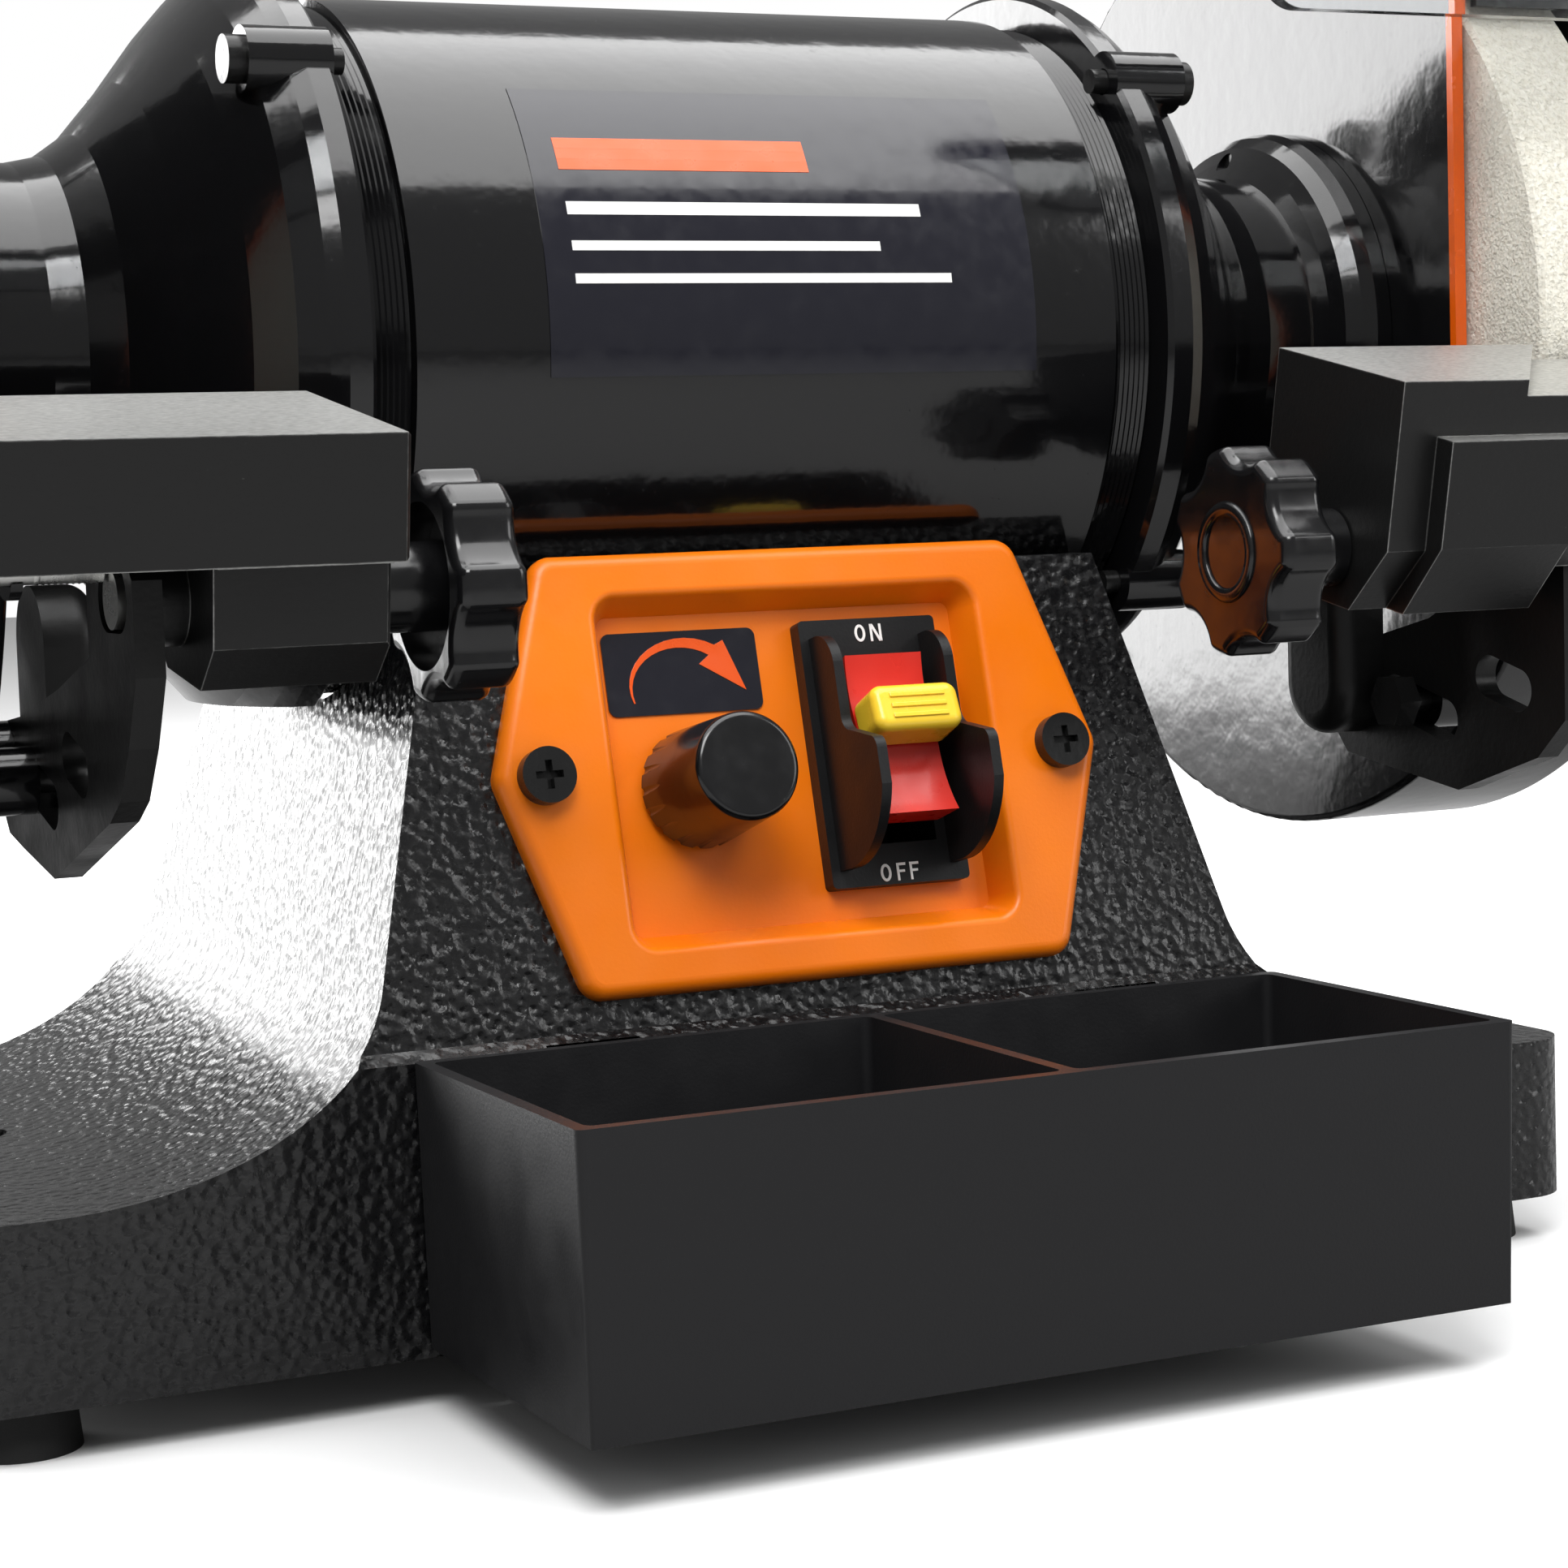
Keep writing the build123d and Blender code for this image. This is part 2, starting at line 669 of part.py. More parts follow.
def guard_opening(x, thickness):
    """Cut the front of a guard away, above the lower edge of the opening."""
    with BuildSketch(side_at(x)) as cut:
        with Locations((-opening_y - 60.0, 60.0 - opening_low)):
            Rectangle(120.0, 120.0)
    extrude(cut.sketch, amount=thickness, mode=Mode.SUBTRACT)


for name, side in SIDES:
    with BuildPart() as inner_guard:
        disc(side * guard_x, guard_r, side * guard_depth)
        fillet(
            inner_guard.edges().filter_by(GeomType.CIRCLE).sort_by(Axis.X)[0 if side > 0 else -1],
            1.2,
        )
        disc(side * (guard_x + guard_sheet), guard_r - guard_sheet, side * guard_depth, Mode.SUBTRACT)
        guard_opening(side * (guard_x - 1), side * (guard_depth + 2))
        for angle in lug_angles:
            disc(side * guard_x, lug_r, side * guard_sheet, at=polar(lug_radius - 3.0, angle))
        # pads that carry the rest bracket
        pad_x = bracket_x + bracket_t
        rear, front = bracket_points[name]
        for point in (rear, front):
            disc(side * pad_x, 5.0, side * (guard_x + 0.5 - pad_x), at=point)
        disc(side * pad_x, m4, side * (guard_x - pad_x), Mode.SUBTRACT, front)
        disc(side * pad_x, m4 + screw_gap, side * 20.0, Mode.SUBTRACT, rear)
        # tab at the top of the opening for the spark arrestor
        tab_z = sqrt(guard_r**2 - opening_y**2) - 4.0
        with BuildSketch(side_at(side * (guard_x + 3.0))) as tab:
            with Locations((-opening_y + guard_sheet / 2, tab_z + 9.0)):
                Rectangle(guard_sheet, 18.0)
        extrude(tab.sketch, amount=side * (guard_depth - 6.0))
        tab_hole = (side * wheel_x, shaft_height + tab_z + 11.0)
        with BuildSketch(Plane.XZ.offset(opening_y - 5.0)) as arrestor_taps:
            with Locations(tab_hole):
                Circle(m4)
        extrude(arrestor_taps.sketch, amount=10.0, mode=Mode.SUBTRACT)
        disc(side * (guard_x - 1.0), flange_r + 2.3, side * 5.0, Mode.SUBTRACT)
        for angle in guard_screw_angles:
            at = polar(guard_screw_radius, angle)
            disc(side * (guard_x - 1.0), m4 + screw_gap, side * 5.0, Mode.SUBTRACT, at)
        for angle in lug_angles:
            disc(side * (guard_x - 1.0), m4 + screw_gap, side * 5.0, Mode.SUBTRACT, polar(lug_radius, angle))
    finish(inner_guard, f"{name}_inner_guard")

with BuildPart() as guard_screws:
    # three screws hold each guard to the hub of its end bell
    for name, side in SIDES:
        for angle in guard_screw_angles:
            at = polar(guard_screw_radius, angle)
            disc(side * (guard_x + guard_sheet), 3.8, side * 1.1, at=at)
            disc(side * (bell_end - 8.0), m4, side * (9.0 + guard_sheet), at=at)
finish(guard_screws, "guard_screws")

for name, side in SIDES:
    with BuildPart() as guard_cover:
        disc(side * guard_end, guard_r, side * (cover_lip + guard_sheet))
        fillet(
            guard_cover.edges().filter_by(GeomType.CIRCLE).sort_by(Axis.X)[-1 if side > 0 else 0],
            1.4,
        )
        disc(side * guard_end, guard_r - guard_sheet, side * cover_lip, Mode.SUBTRACT)
        guard_opening(side * (guard_end - 1), side * 10.0)
        for angle in lug_angles:
            disc(side * (guard_end + cover_lip), lug_r, side * guard_sheet, at=polar(lug_radius - 3.0, angle))
        dome_x = guard_end + cover_lip
        turned(
            [
                (side * dome_x, cover_dome_r + 3.0),
                (side * (dome_x + guard_sheet), cover_dome_r + 3.0),
                (side * (dome_x + guard_sheet + 1.0), cover_dome_r + 0.6),
                (side * (dome_x + cover_dome_h - 2.0), cover_dome_r - 1.0),
                (side * (dome_x + cover_dome_h), cover_dome_r - 3.5),
                (side * (dome_x + cover_dome_h + 1.0), cover_dome_r - 10.0),
                (side * (dome_x + cover_dome_h + 1.0), 0),
                (side * (dome_x - 0.5), 0),
                (side * (dome_x - 0.5), cover_dome_r - 2.0),
                (side * dome_x, cover_dome_r - 2.0),
            ]
        )
        with BuildSketch(axis_front) as hollow:
            with BuildLine():
                Polyline(
                    (side * (dome_x - 2.0), 0),
                    (side * (dome_x - 2.0), cover_dome_r - 1.6),
                    (side * (dome_x + guard_sheet), cover_dome_r - 1.6),
                    (side * (dome_x + cover_dome_h - 2.6), cover_dome_r - 2.8),
                    (side * (dome_x + cover_dome_h - 0.7), cover_dome_r - 10.0),
                    (side * (dome_x + cover_dome_h - 0.7), 0),
                    close=True,
                )
            make_face()
        revolve(hollow.sketch, axis=shaft_axis, mode=Mode.SUBTRACT)
        for angle in lug_angles:
            disc(side * guard_end, m4 + screw_gap, side * 6.0, Mode.SUBTRACT, polar(lug_radius, angle))
    finish(guard_cover, f"{name}_guard_cover")

with BuildPart() as cover_screws:
    for name, side in SIDES:
        for angle in lug_angles:
            at = polar(lug_radius, angle)
            head_x = guard_end + cover_lip + guard_sheet
            disc(side * head_x, 3.6, side * 2.6, at=at)
            disc(side * screw_tip, m4, side * (head_x - screw_tip + 0.5), at=at)
finish(cover_screws, "cover_screws")

trim_top = sqrt(guard_r**2 - opening_y**2) - 6.0
with BuildPart() as guard_trims:
    # channels pushed over the front edges of the guard walls
    for name, side in SIDES:
        with BuildSketch(side_at(side * (guard_x - trim_wall))) as strip:
            with Locations((-opening_y, (trim_top - opening_low + 1.0) / 2)):
                Rectangle(trim_w, trim_top + opening_low - 1.0)
        extrude(strip.sketch, amount=side * (guard_sheet + 2 * trim_wall))
        with BuildSketch(side_at(side * (guard_x - 0.02))) as channel:
            with Locations((-opening_y + trim_w / 2 - 0.02, (trim_top - opening_low) / 2)):
                Rectangle(trim_w + 0.04, trim_top + opening_low + 20.0)
        extrude(channel.sketch, amount=side * (guard_sheet + 0.04), mode=Mode.SUBTRACT)
finish(guard_trims, "guard_trims")

# ---------------------------------------------------------------- spark arrestors
arrestor_y = opening_y + 0.1
for name, side in SIDES:
    with BuildPart() as spark_arrestor:
        low = shaft_height + sqrt((wheel_d / 2 + 1.5) ** 2 - arrestor_y**2)
        with BuildSketch(Plane.XZ.offset(arrestor_y)) as plate:
            with Locations((side * (wheel_x + 1.0), low + 17.0)):
                Rectangle(arrestor_w, 34.0)
            with Locations((side * wheel_x, tab_hole[1])):
                SlotOverall(16.0, 2 * m4 + 0.6, rotation=90, mode=Mode.SUBTRACT)
        extrude(plate.sketch, amount=arrestor_t)
    finish(spark_arrestor, f"{name}_spark_arrestor")

with BuildPart() as arrestor_screws:
    with BuildSketch(Plane.XZ.offset(arrestor_y + arrestor_t + 0.1)) as heads:
        with GridLocations(2 * wheel_x, 0, 2, 1):
            with Locations((0, tab_hole[1])):
                Circle(4.4)
    extrude(heads.sketch, amount=2.6)
    with BuildSketch(Plane.XZ.offset(opening_y - 4.5)) as shanks:
        with GridLocations(2 * wheel_x, 0, 2, 1):
            with Locations((0, tab_hole[1])):
                Circle(m4)
    extrude(shanks.sketch, amount=arrestor_t + 5.0)
finish(arrestor_screws, "arrestor_screws")

# ---------------------------------------------------------------- eye shields
pivot_height = shaft_height + pivot_z
for name, side in SIDES:
    with BuildPart() as shield_arm:
        # cranked strap from the guard cover up to the pivot of the shield
        strap_x = guard_end + cover_lip + guard_sheet
        with BuildSketch(side_at(side * strap_x)) as strap:
            with BuildLine():
                Polyline(
                    (-30.0, 62.0),
                    (-48.0, 62.0),
                    (-pivot_y - 3.3, pivot_z - 4.4),
                    (-pivot_y + 3.3, pivot_z + 4.4),
                    (-30.0, 78.0),
                    close=True,
                )
            make_face()
            with Locations((-pivot_y, pivot_z)):
                Circle(5.5)
            with Locations((-pivot_y, pivot_z)):
                Circle(m4 + running_gap, mode=Mode.SUBTRACT)
            for hole in arm_holes:
                with Locations(hole):
                    Circle(m4, mode=Mode.SUBTRACT)
        extrude(strap.sketch, amount=side * 3.0)
    finish(shield_arm, f"{name}_shield_arm")

with BuildPart() as shield_arm_screws:
    for name, side in SIDES:
        for hole in arm_holes:
            disc(side * (strap_x + 3.0), 3.6, side * 2.4, at=hole)
            disc(side * (strap_x + 0.02), m4 - 0.02, side * 3.2, at=hole)
finish(shield_arm_screws, "shield_arm_screws")

for name, side in SIDES:
    with BuildPart() as eye_shield:
        # clear plate in front of the pivot, with a bar along its top edge
        with BuildSketch(Plane.XZ.offset(pivot_y + 6.0)) as lens:
            with Locations((side * (wheel_x - 12.0), pivot_height - shield_h / 2 + 8.0)):
                RectangleRounded(shield_w, shield_h, 6.0)
        extrude(lens.sketch, amount=shield_t)
    finish(eye_shield, f"{name}_eye_shield")
    with BuildPart() as shield_bar:
        bar_in = wheel_x - 12.0 - shield_w / 2
        with BuildSketch(side_at(side * bar_in)) as bar:
            with BuildLine():
                Polyline(
                    (-pivot_y - 6.0, pivot_z - 5.0),
                    (-pivot_y + 5.0, pivot_z - 5.0),
                    (-pivot_y + 5.0, pivot_z + 5.0),
                    (-pivot_y - 6.0, pivot_z + 5.0),
                    close=True,
                )
            make_face()
        extrude(bar.sketch, amount=side * (strap_x - 0.5 - bar_in))
        disc(side * (strap_x - 2.0), m4, side * 10.0, at=(-pivot_y, pivot_z))
        disc(side * (strap_x + 3.3), 5.5, side * 6.0, at=(-pivot_y, pivot_z))
    finish(shield_bar, f"{name}_shield_bar")

# ---------------------------------------------------------------- tool rests
bracket_front = rest_axis_y + rest_slot_out + rest_bolt_r + 3.4
bracket_top = rest_axis_drop - rest_bolt_r - 3.6
bracket_low = {
    "left": (
        (-98.0, -55.5),
        (-92.0, -62.8),
        (-86.0, -66.0),
        (-52.0, -76.5),
        (-33.0, -73.6),
        (-24.0, -72.0),
        (-18.0, -66.0),
        (-17.0, -56.0),
        (-35.0, -54.0),
        (-60.0, -49.0),
    ),
    "right": (
        (-bracket_front, -64.5),
        (-96.4, -70.8),
        (-75.4, -77.3),
        (-53.3, -74.1),
        (-43.8, -72.6),
        (-38.0, -66.0),
        (-37.0, -56.0),
        (-50.0, -53.0),
        (-68.0, -49.0),
    ),
}
bracket_slots = {
    "left": (((-38.0, -62.2), (-53.0, -65.9)), ((-64.0, -58.2), (-71.5, -60.2))),
    "right": (((-58.0, -62.2), (-72.0, -65.9)), ((-84.0, -58.2), (-91.5, -60.2))),
}

for name, side in SIDES:
    with BuildPart() as rest_bracket:
        with BuildSketch(side_at(side * bracket_x)) as outline:
            with BuildLine():
                Polyline(
                    (-79.0, -44.0),
                    (-79.0, -bracket_top),
                    (-bracket_front + 5.0, -bracket_top),
                    (-bracket_front, -bracket_top - 5.0),
                    (-bracket_front, -46.0),
                    *bracket_low[name],
                    close=True,
                )
            make_face()
            # slot for the rest bolt
            with Locations((-rest_axis_y - (rest_slot_out - rest_slot_in) / 2, -rest_axis_drop)):
                slot_wide = 2 * (rest_bolt_r + 2 * screw_gap)
                SlotOverall(rest_slot_in + rest_slot_out + slot_wide, slot_wide, mode=Mode.SUBTRACT)
            # slots for setting the bracket
            for start, end in bracket_slots[name]:
                run = (end[0] - start[0], end[1] - start[1])
                with Locations(((start[0] + end[0]) / 2, (start[1] + end[1]) / 2)):
                    SlotOverall(
                        hypot(*run) + 7.0,
                        7.0,
                        rotation=degrees(atan2(run[1], run[0])),
                        mode=Mode.SUBTRACT,
                    )
            with Locations(bracket_points[name][0]):
                Circle(m4, mode=Mode.SUBTRACT)
        extrude(outline.sketch, amount=side * bracket_t)
        # rounded boss that takes the rear screw
        rear = bracket_points[name][0]
        with BuildSketch(side_at(side * bracket_x)) as boss:
            with Locations((rear[0], rear[1] + boss_rise)):
                SlotOverall(boss_long, boss_wide, rotation=90)
        extrude(boss.sketch, amount=-side * boss_t)
        boss_end = rest_bracket.faces().sort_by(Axis.X)[0 if side > 0 else -1]
        fillet(boss_end.edges(), boss_round)
        disc(side * (bracket_x - 4.0), m4, side * 5.0, Mode.SUBTRACT, rear)
    finish(rest_bracket, f"{name}_rest_bracket")

with BuildPart() as bracket_screws:
    for name, side in SIDES:
        rear, front = bracket_points[name]
        disc(side * (guard_x + guard_sheet), 3.8, side * 1.0, at=rear)
        disc(side * (bracket_x - 3.0), m4, side * (guard_x + guard_sheet + 3.5 - bracket_x), at=rear)
        with BuildSketch(side_at(side * bracket_x)) as head:
            with Locations(front):
                RegularPolygon(4.6, 6)
        extrude(head.sketch, amount=-side * 4.0)
        disc(side * (bracket_x - 0.5), m4, side * (guard_x + 0.1 - bracket_x), at=front)
finish(bracket_screws, "bracket_screws")


def rest_plane(rest, side):
    """Plane across the shaft at a rest's inner end: x is forward, y is up, both tilted with the top."""
    lean = radians(rest["tilt"])
    origin = (side * rest["inner"], -rest["back"], shaft_height - rest["top"])
    return Plane(origin, x_dir=(0, -cos(lean), -sin(lean)), z_dir=(-1, 0, 0))


def rest_axis_local(rest, side):
    """The clamp bolt's place in a rest plane."""
    point = Vector(side * rest["inner"], -rest_axis_y, shaft_height - rest_axis_drop)
    local = rest_plane(rest, side).to_local_coords(point)
    return (local.X, local.Y)


block_end = bracket_x - loose_gap


def table_profile(rest, skirt_t):
    """Open section of a table: a top plate and a front skirt."""
    depth = rest["depth"]
    thick = rest["thick"]
    Polyline(
        (0, 0),
        (depth, 0),
        (depth, -thick),
        (depth - skirt_t, -thick),
        (depth - skirt_t, -table_t),
        (0, -table_t),
        close=True,
    )


with BuildPart() as left_tool_rest:
    plane = rest_plane(left_rest, -1)
    pivot = rest_axis_local(left_rest, -1)
    length = left_rest["outer"] - left_rest["inner"]
    with BuildSketch(plane) as table:
        with BuildLine():
            table_profile(left_rest, 5.0)
        make_face()
    extrude(table.sketch, amount=length)
    with BuildSketch(plane) as solid_part:
        with Locations((left_rest["depth"] / 2, -left_rest["thick"] / 2)):
            Rectangle(left_rest["depth"], left_rest["thick"])
    extrude(solid_part.sketch, amount=clamp_end - left_rest["inner"])
    # the skirt gets shallower towards its outer end
    skirt_face = Plane(
        plane.from_local_coords(Vector(left_rest["depth"], -left_rest["thick"], 0)),
        x_dir=(-1, 0, 0),
        z_dir=plane.x_dir,
    )
    with BuildSketch(skirt_face) as wedge:
        with BuildLine():
            Polyline((0, 0), (length, skirt_thin), (length, -1.0), (0, -1.0), close=True)
        make_face()
    extrude(wedge.sketch, amount=-5.0, both=True, mode=Mode.SUBTRACT)
    # clamp block under the table
    with BuildSketch(plane) as block:
        with BuildLine():
            Polyline(
                (pivot[0] - 12.0, -left_rest["thick"] + 0.5),
                (pivot[0] - 12.0, pivot[1] - 5.0),
                (pivot[0] - 5.0, pivot[1] - 10.5),
                (pivot[0] + 11.0, pivot[1] - 10.5),
                (pivot[0] + 17.0, pivot[1] - 4.0),
                (pivot[0] + 17.0, -left_rest["thick"] + 0.5),
                close=True,
            )
        make_face()
    extrude(block.sketch, amount=clamp_end - left_rest["inner"])
    with BuildSketch(plane) as spacer:
        with Locations(pivot):
            Circle(6.5)
    extrude(spacer.sketch, amount=block_end - left_rest["inner"])
    with BuildSketch(plane) as bore:
        with Locations(pivot):
            Circle(rest_bolt_r + running_gap)
    extrude(bore.sketch, amount=60.0, mode=Mode.SUBTRACT)
    end_edges = left_tool_rest.edges().group_by(Axis.X)[-1]
    chamfer(end_edges.filter_by_position(Axis.Z, shaft_height - 40.0, shaft_height), 0.5)
finish(left_tool_rest, "left_tool_rest")

with BuildPart() as right_tool_rest:
    plane = rest_plane(right_rest, 1)
    pivot = rest_axis_local(right_rest, 1)
    length = right_rest["outer"] - right_rest["inner"]
    depth = right_rest["depth"]
    with BuildSketch(plane) as body:
        with BuildLine():
            Polyline(
                (0, 0),
                (depth, 0),
                (depth, -right_rest["thick"]),
                (depth - 8.5, pivot[1] - 8.5),
                (3.0, pivot[1] - 8.5),
                (0, pivot[1] - 4.0),
                close=True,
            )
        make_face()
    extrude(body.sketch, amount=-(clamp_end - right_rest["inner"]))
    with BuildSketch(plane) as table:
        with BuildLine():
            table_profile(right_rest, 2.0)
        make_face()
    extrude(table.sketch, amount=-length)
    # raised nose in front, behind it the skirt carries on down
    with BuildSketch(plane.offset(-7.0)) as nose:
        with BuildLine():
            Polyline(
                (depth - 0.5, -8.5),
                (depth + 4.0, -8.5),
                (depth + 4.0, -right_rest["thick"] + 1.0),
                (depth - 0.5, -right_rest["thick"] - 3.5),
                close=True,
            )
        make_face()
    extrude(nose.sketch, amount=-(length - 7.0))
    low = pivot[1] - 8.5
    with BuildSketch(plane.offset(-7.0)) as chin:
        with BuildLine():
            Polyline(
                (depth - 1.0, -right_rest["thick"] + 4.0),
                (depth + 4.0, -right_rest["thick"] + 1.0),
                (depth - 4.0, low),
                (depth - 9.5, low),
                close=True,
            )
        make_face()
    extrude(chin.sketch, amount=-(clamp_end - right_rest["inner"] - 7.0))
    with BuildSketch(plane) as spacer:
        with Locations(pivot):
            Circle(6.5)
    extrude(spacer.sketch, amount=-(block_end - right_rest["inner"]))
    # angled groove for holding drill bits
    groove_depth = 2.5
    groove_plane = Plane(
        plane.from_local_coords(Vector(0, 0, -(131.0 - right_rest["inner"]))),
        x_dir=plane.x_dir,
        z_dir=plane.y_dir,
    )
    with BuildSketch(groove_plane) as groove:
        with Locations((depth / 2, -13.0)):
            Rectangle(2 * depth, 9.0, rotation=-38.0)
    extrude(groove.sketch, amount=-groove_depth, mode=Mode.SUBTRACT)
    with BuildSketch(plane) as bore:
        with Locations(pivot):
            Circle(rest_bolt_r + running_gap)
    extrude(bore.sketch, amount=-60.0, mode=Mode.SUBTRACT)
finish(right_tool_rest, "right_tool_rest")

for name, side in SIDES:
    inner = left_rest["inner"] if side < 0 else right_rest["inner"]
    at = (-rest_axis_y, -rest_axis_drop)
    with BuildPart() as rest_bolt:
        # the far end fills the slot of the bracket, flush with its outer face
        bolt_x = star_x[name] + star_web
        disc(side * bolt_x, rest_bolt_r, side * (bracket_x + bracket_t - bolt_x), at=at)
    finish(rest_bolt, f"{name}_rest_bolt")
    with BuildPart() as star_knob:
        # lobed rim with a hollow back, and a sleeve round the bolt
        with BuildSketch(side_at(side * star_x[name])) as star:
            with Locations(at):
                Circle(star_r)
                with PolarLocations(star_r + 4.6, 7):
                    Circle(7.0, mode=Mode.SUBTRACT)
            fillet(star.vertices(), 1.6)
        extrude(star.sketch, amount=side * star_t)
        faces_out = star_knob.faces().sort_by(Axis.X)
        fillet(faces_out[0].edges() + faces_out[-1].edges(), 1.8)
        disc(side * (bolt_x + 1.0), star_back_r, side * star_t, Mode.SUBTRACT, at)
        disc(side * bolt_x, star_sleeve_r, side * (inner - loose_gap - bolt_x), at=at)
        disc(side * bolt_x, rest_bolt_r + 0.02, side * 60.0, Mode.SUBTRACT, at)
    finish(star_knob, f"{name}_star_knob")

# ---------------------------------------------------------------- control panel
with BuildPart() as control_panel:
    with BuildSketch(panel_plane) as face:
        with BuildLine():
            Polyline(
                (panel_half_top, panel_half_h),
                (panel_half_mid, 0),
                (panel_half_top, -panel_half_h),
                (-panel_half_top, -panel_half_h),
                (-panel_half_mid, 0),
                (-panel_half_top, panel_half_h),
                close=True,
            )
        make_face()
        fillet(face.vertices(), 4.0)
    extrude(face.sketch, amount=panel_t)
    with BuildSketch(panel_plane) as tub:
        RectangleRounded(2 * recess_half_w + 3.0, 2 * recess_half_h + 3.0, 4.0)
    extrude(tub.sketch, amount=-(recess_depth + panel_wall - panel_t), taper=14)
    with BuildSketch(panel_plane.offset(panel_t)) as recess:
        RectangleRounded(2 * recess_half_w, 2 * recess_half_h, 4.0)
    extrude(recess.sketch, amount=-recess_depth, taper=24, mode=Mode.SUBTRACT)
    with BuildSketch(panel_plane.offset(-20.0)) as holes:
        with Locations(knob_xy):
            Circle(spindle_r + bush_wall + screw_gap)
        with Locations(switch_xy):
            Rectangle(switch_w - 3.0, switch_h - 4.0)
        with GridLocations(2 * panel_screw_x, 0, 2, 1):
            Circle(m4 + screw_gap)
    extrude(holes.sketch, amount=30.0, mode=Mode.SUBTRACT)
    outward = Axis(panel_plane.origin, panel_plane.z_dir)
    front_face = control_panel.faces().filter_by(panel_plane).sort_by(outward)[-1]
    fillet(front_face.outer_wire().edges(), panel_round)
    inner_rims = [wire for wire in front_face.inner_wires() if wire.length > 2 * panel_half_h]
    fillet(inner_rims[0].edges(), rim_round)
finish(control_panel, "control_panel")

floor_z = panel_t - recess_depth  # recess floor above the inclined face

with BuildPart() as panel_screws:
    with BuildSketch(panel_plane.offset(panel_t)) as heads:
        with GridLocations(2 * panel_screw_x, 0, 2, 1):
            Circle(4.3)
    extrude(heads.sketch, amount=2.6)
    with BuildSketch(panel_plane.offset(-9.0)) as shanks:
        with GridLocations(2 * panel_screw_x, 0, 2, 1):
            Circle(m4 - 0.02)
    extrude(shanks.sketch, amount=9.5 + panel_t)
    with BuildSketch(panel_plane.offset(panel_t + 1.1)) as cross:
        with GridLocations(2 * panel_screw_x, 0, 2, 1):
            Rectangle(4.4, 1.1)
            Rectangle(1.1, 4.4)
    extrude(cross.sketch, amount=3.0, mode=Mode.SUBTRACT)
finish(panel_screws, "panel_screws")

with BuildPart() as arrow_label:
    with BuildSketch(panel_plane.offset(floor_z)) as plate:
        with Locations(label_xy):
            RectangleRounded(label_w, label_h, 1.4)
    extrude(plate.sketch, amount=0.3)
finish(arrow_label, "arrow_label")

with BuildPart() as potentiometer:
    with BuildSketch(panel_plane.offset(floor_z - panel_wall)) as body:
        with Locations(knob_xy):
            Circle(8.5)
    extrude(body.sketch, amount=-9.0)
    with BuildSketch(panel_plane.offset(floor_z - panel_wall - 0.5)) as bush:
        with Locations(knob_xy):
            Circle(spindle_r + bush_wall)
    extrude(bush.sketch, amount=panel_wall + 1.5)
    with BuildSketch(panel_plane.offset(floor_z - 14.0)) as bore:
        with Locations(knob_xy):
            Circle(spindle_r + running_gap)
    extrude(bore.sketch, amount=20.0, mode=Mode.SUBTRACT)
finish(potentiometer, "potentiometer")

with BuildPart() as speed_spindle:
    with BuildSketch(panel_plane.offset(floor_z - 10.0)) as spindle:
        with Locations(knob_xy):
            Circle(spindle_r)
    extrude(spindle.sketch, amount=24.0)
finish(speed_spindle, "speed_spindle")

knob_gap = 1.3  # under the knob
knob_taper = degrees(atan((knob_base_r - knob_r) / (knob_len - knob_gap)))
knob_axis = Axis(panel_plane.origin, panel_plane.z_dir)
with BuildPart() as speed_knob:
    # tapered fluted barrel with a shallow dished cap
    with BuildSketch(panel_plane.offset(floor_z + knob_gap)) as barrel:
        with Locations(knob_xy):
            Circle(knob_base_r)
    extrude(barrel.sketch, amount=knob_len - knob_gap, taper=knob_taper)
    fillet(speed_knob.faces().filter_by(panel_plane).sort_by(knob_axis)[-1].edges(), 1.1)
    with BuildSketch(panel_plane.offset(floor_z + knob_gap)) as flutes:
        with Locations(knob_xy):
            with PolarLocations(knob_base_r + 0.45, 18):
                Circle(0.8)
    extrude(flutes.sketch, amount=knob_len, taper=0, mode=Mode.SUBTRACT)
    with BuildSketch(panel_plane.offset(floor_z)) as bore:
        with Locations(knob_xy):
            Circle(spindle_r + 0.02)
    extrude(bore.sketch, amount=14.0, mode=Mode.SUBTRACT)
finish(speed_knob, "speed_knob")

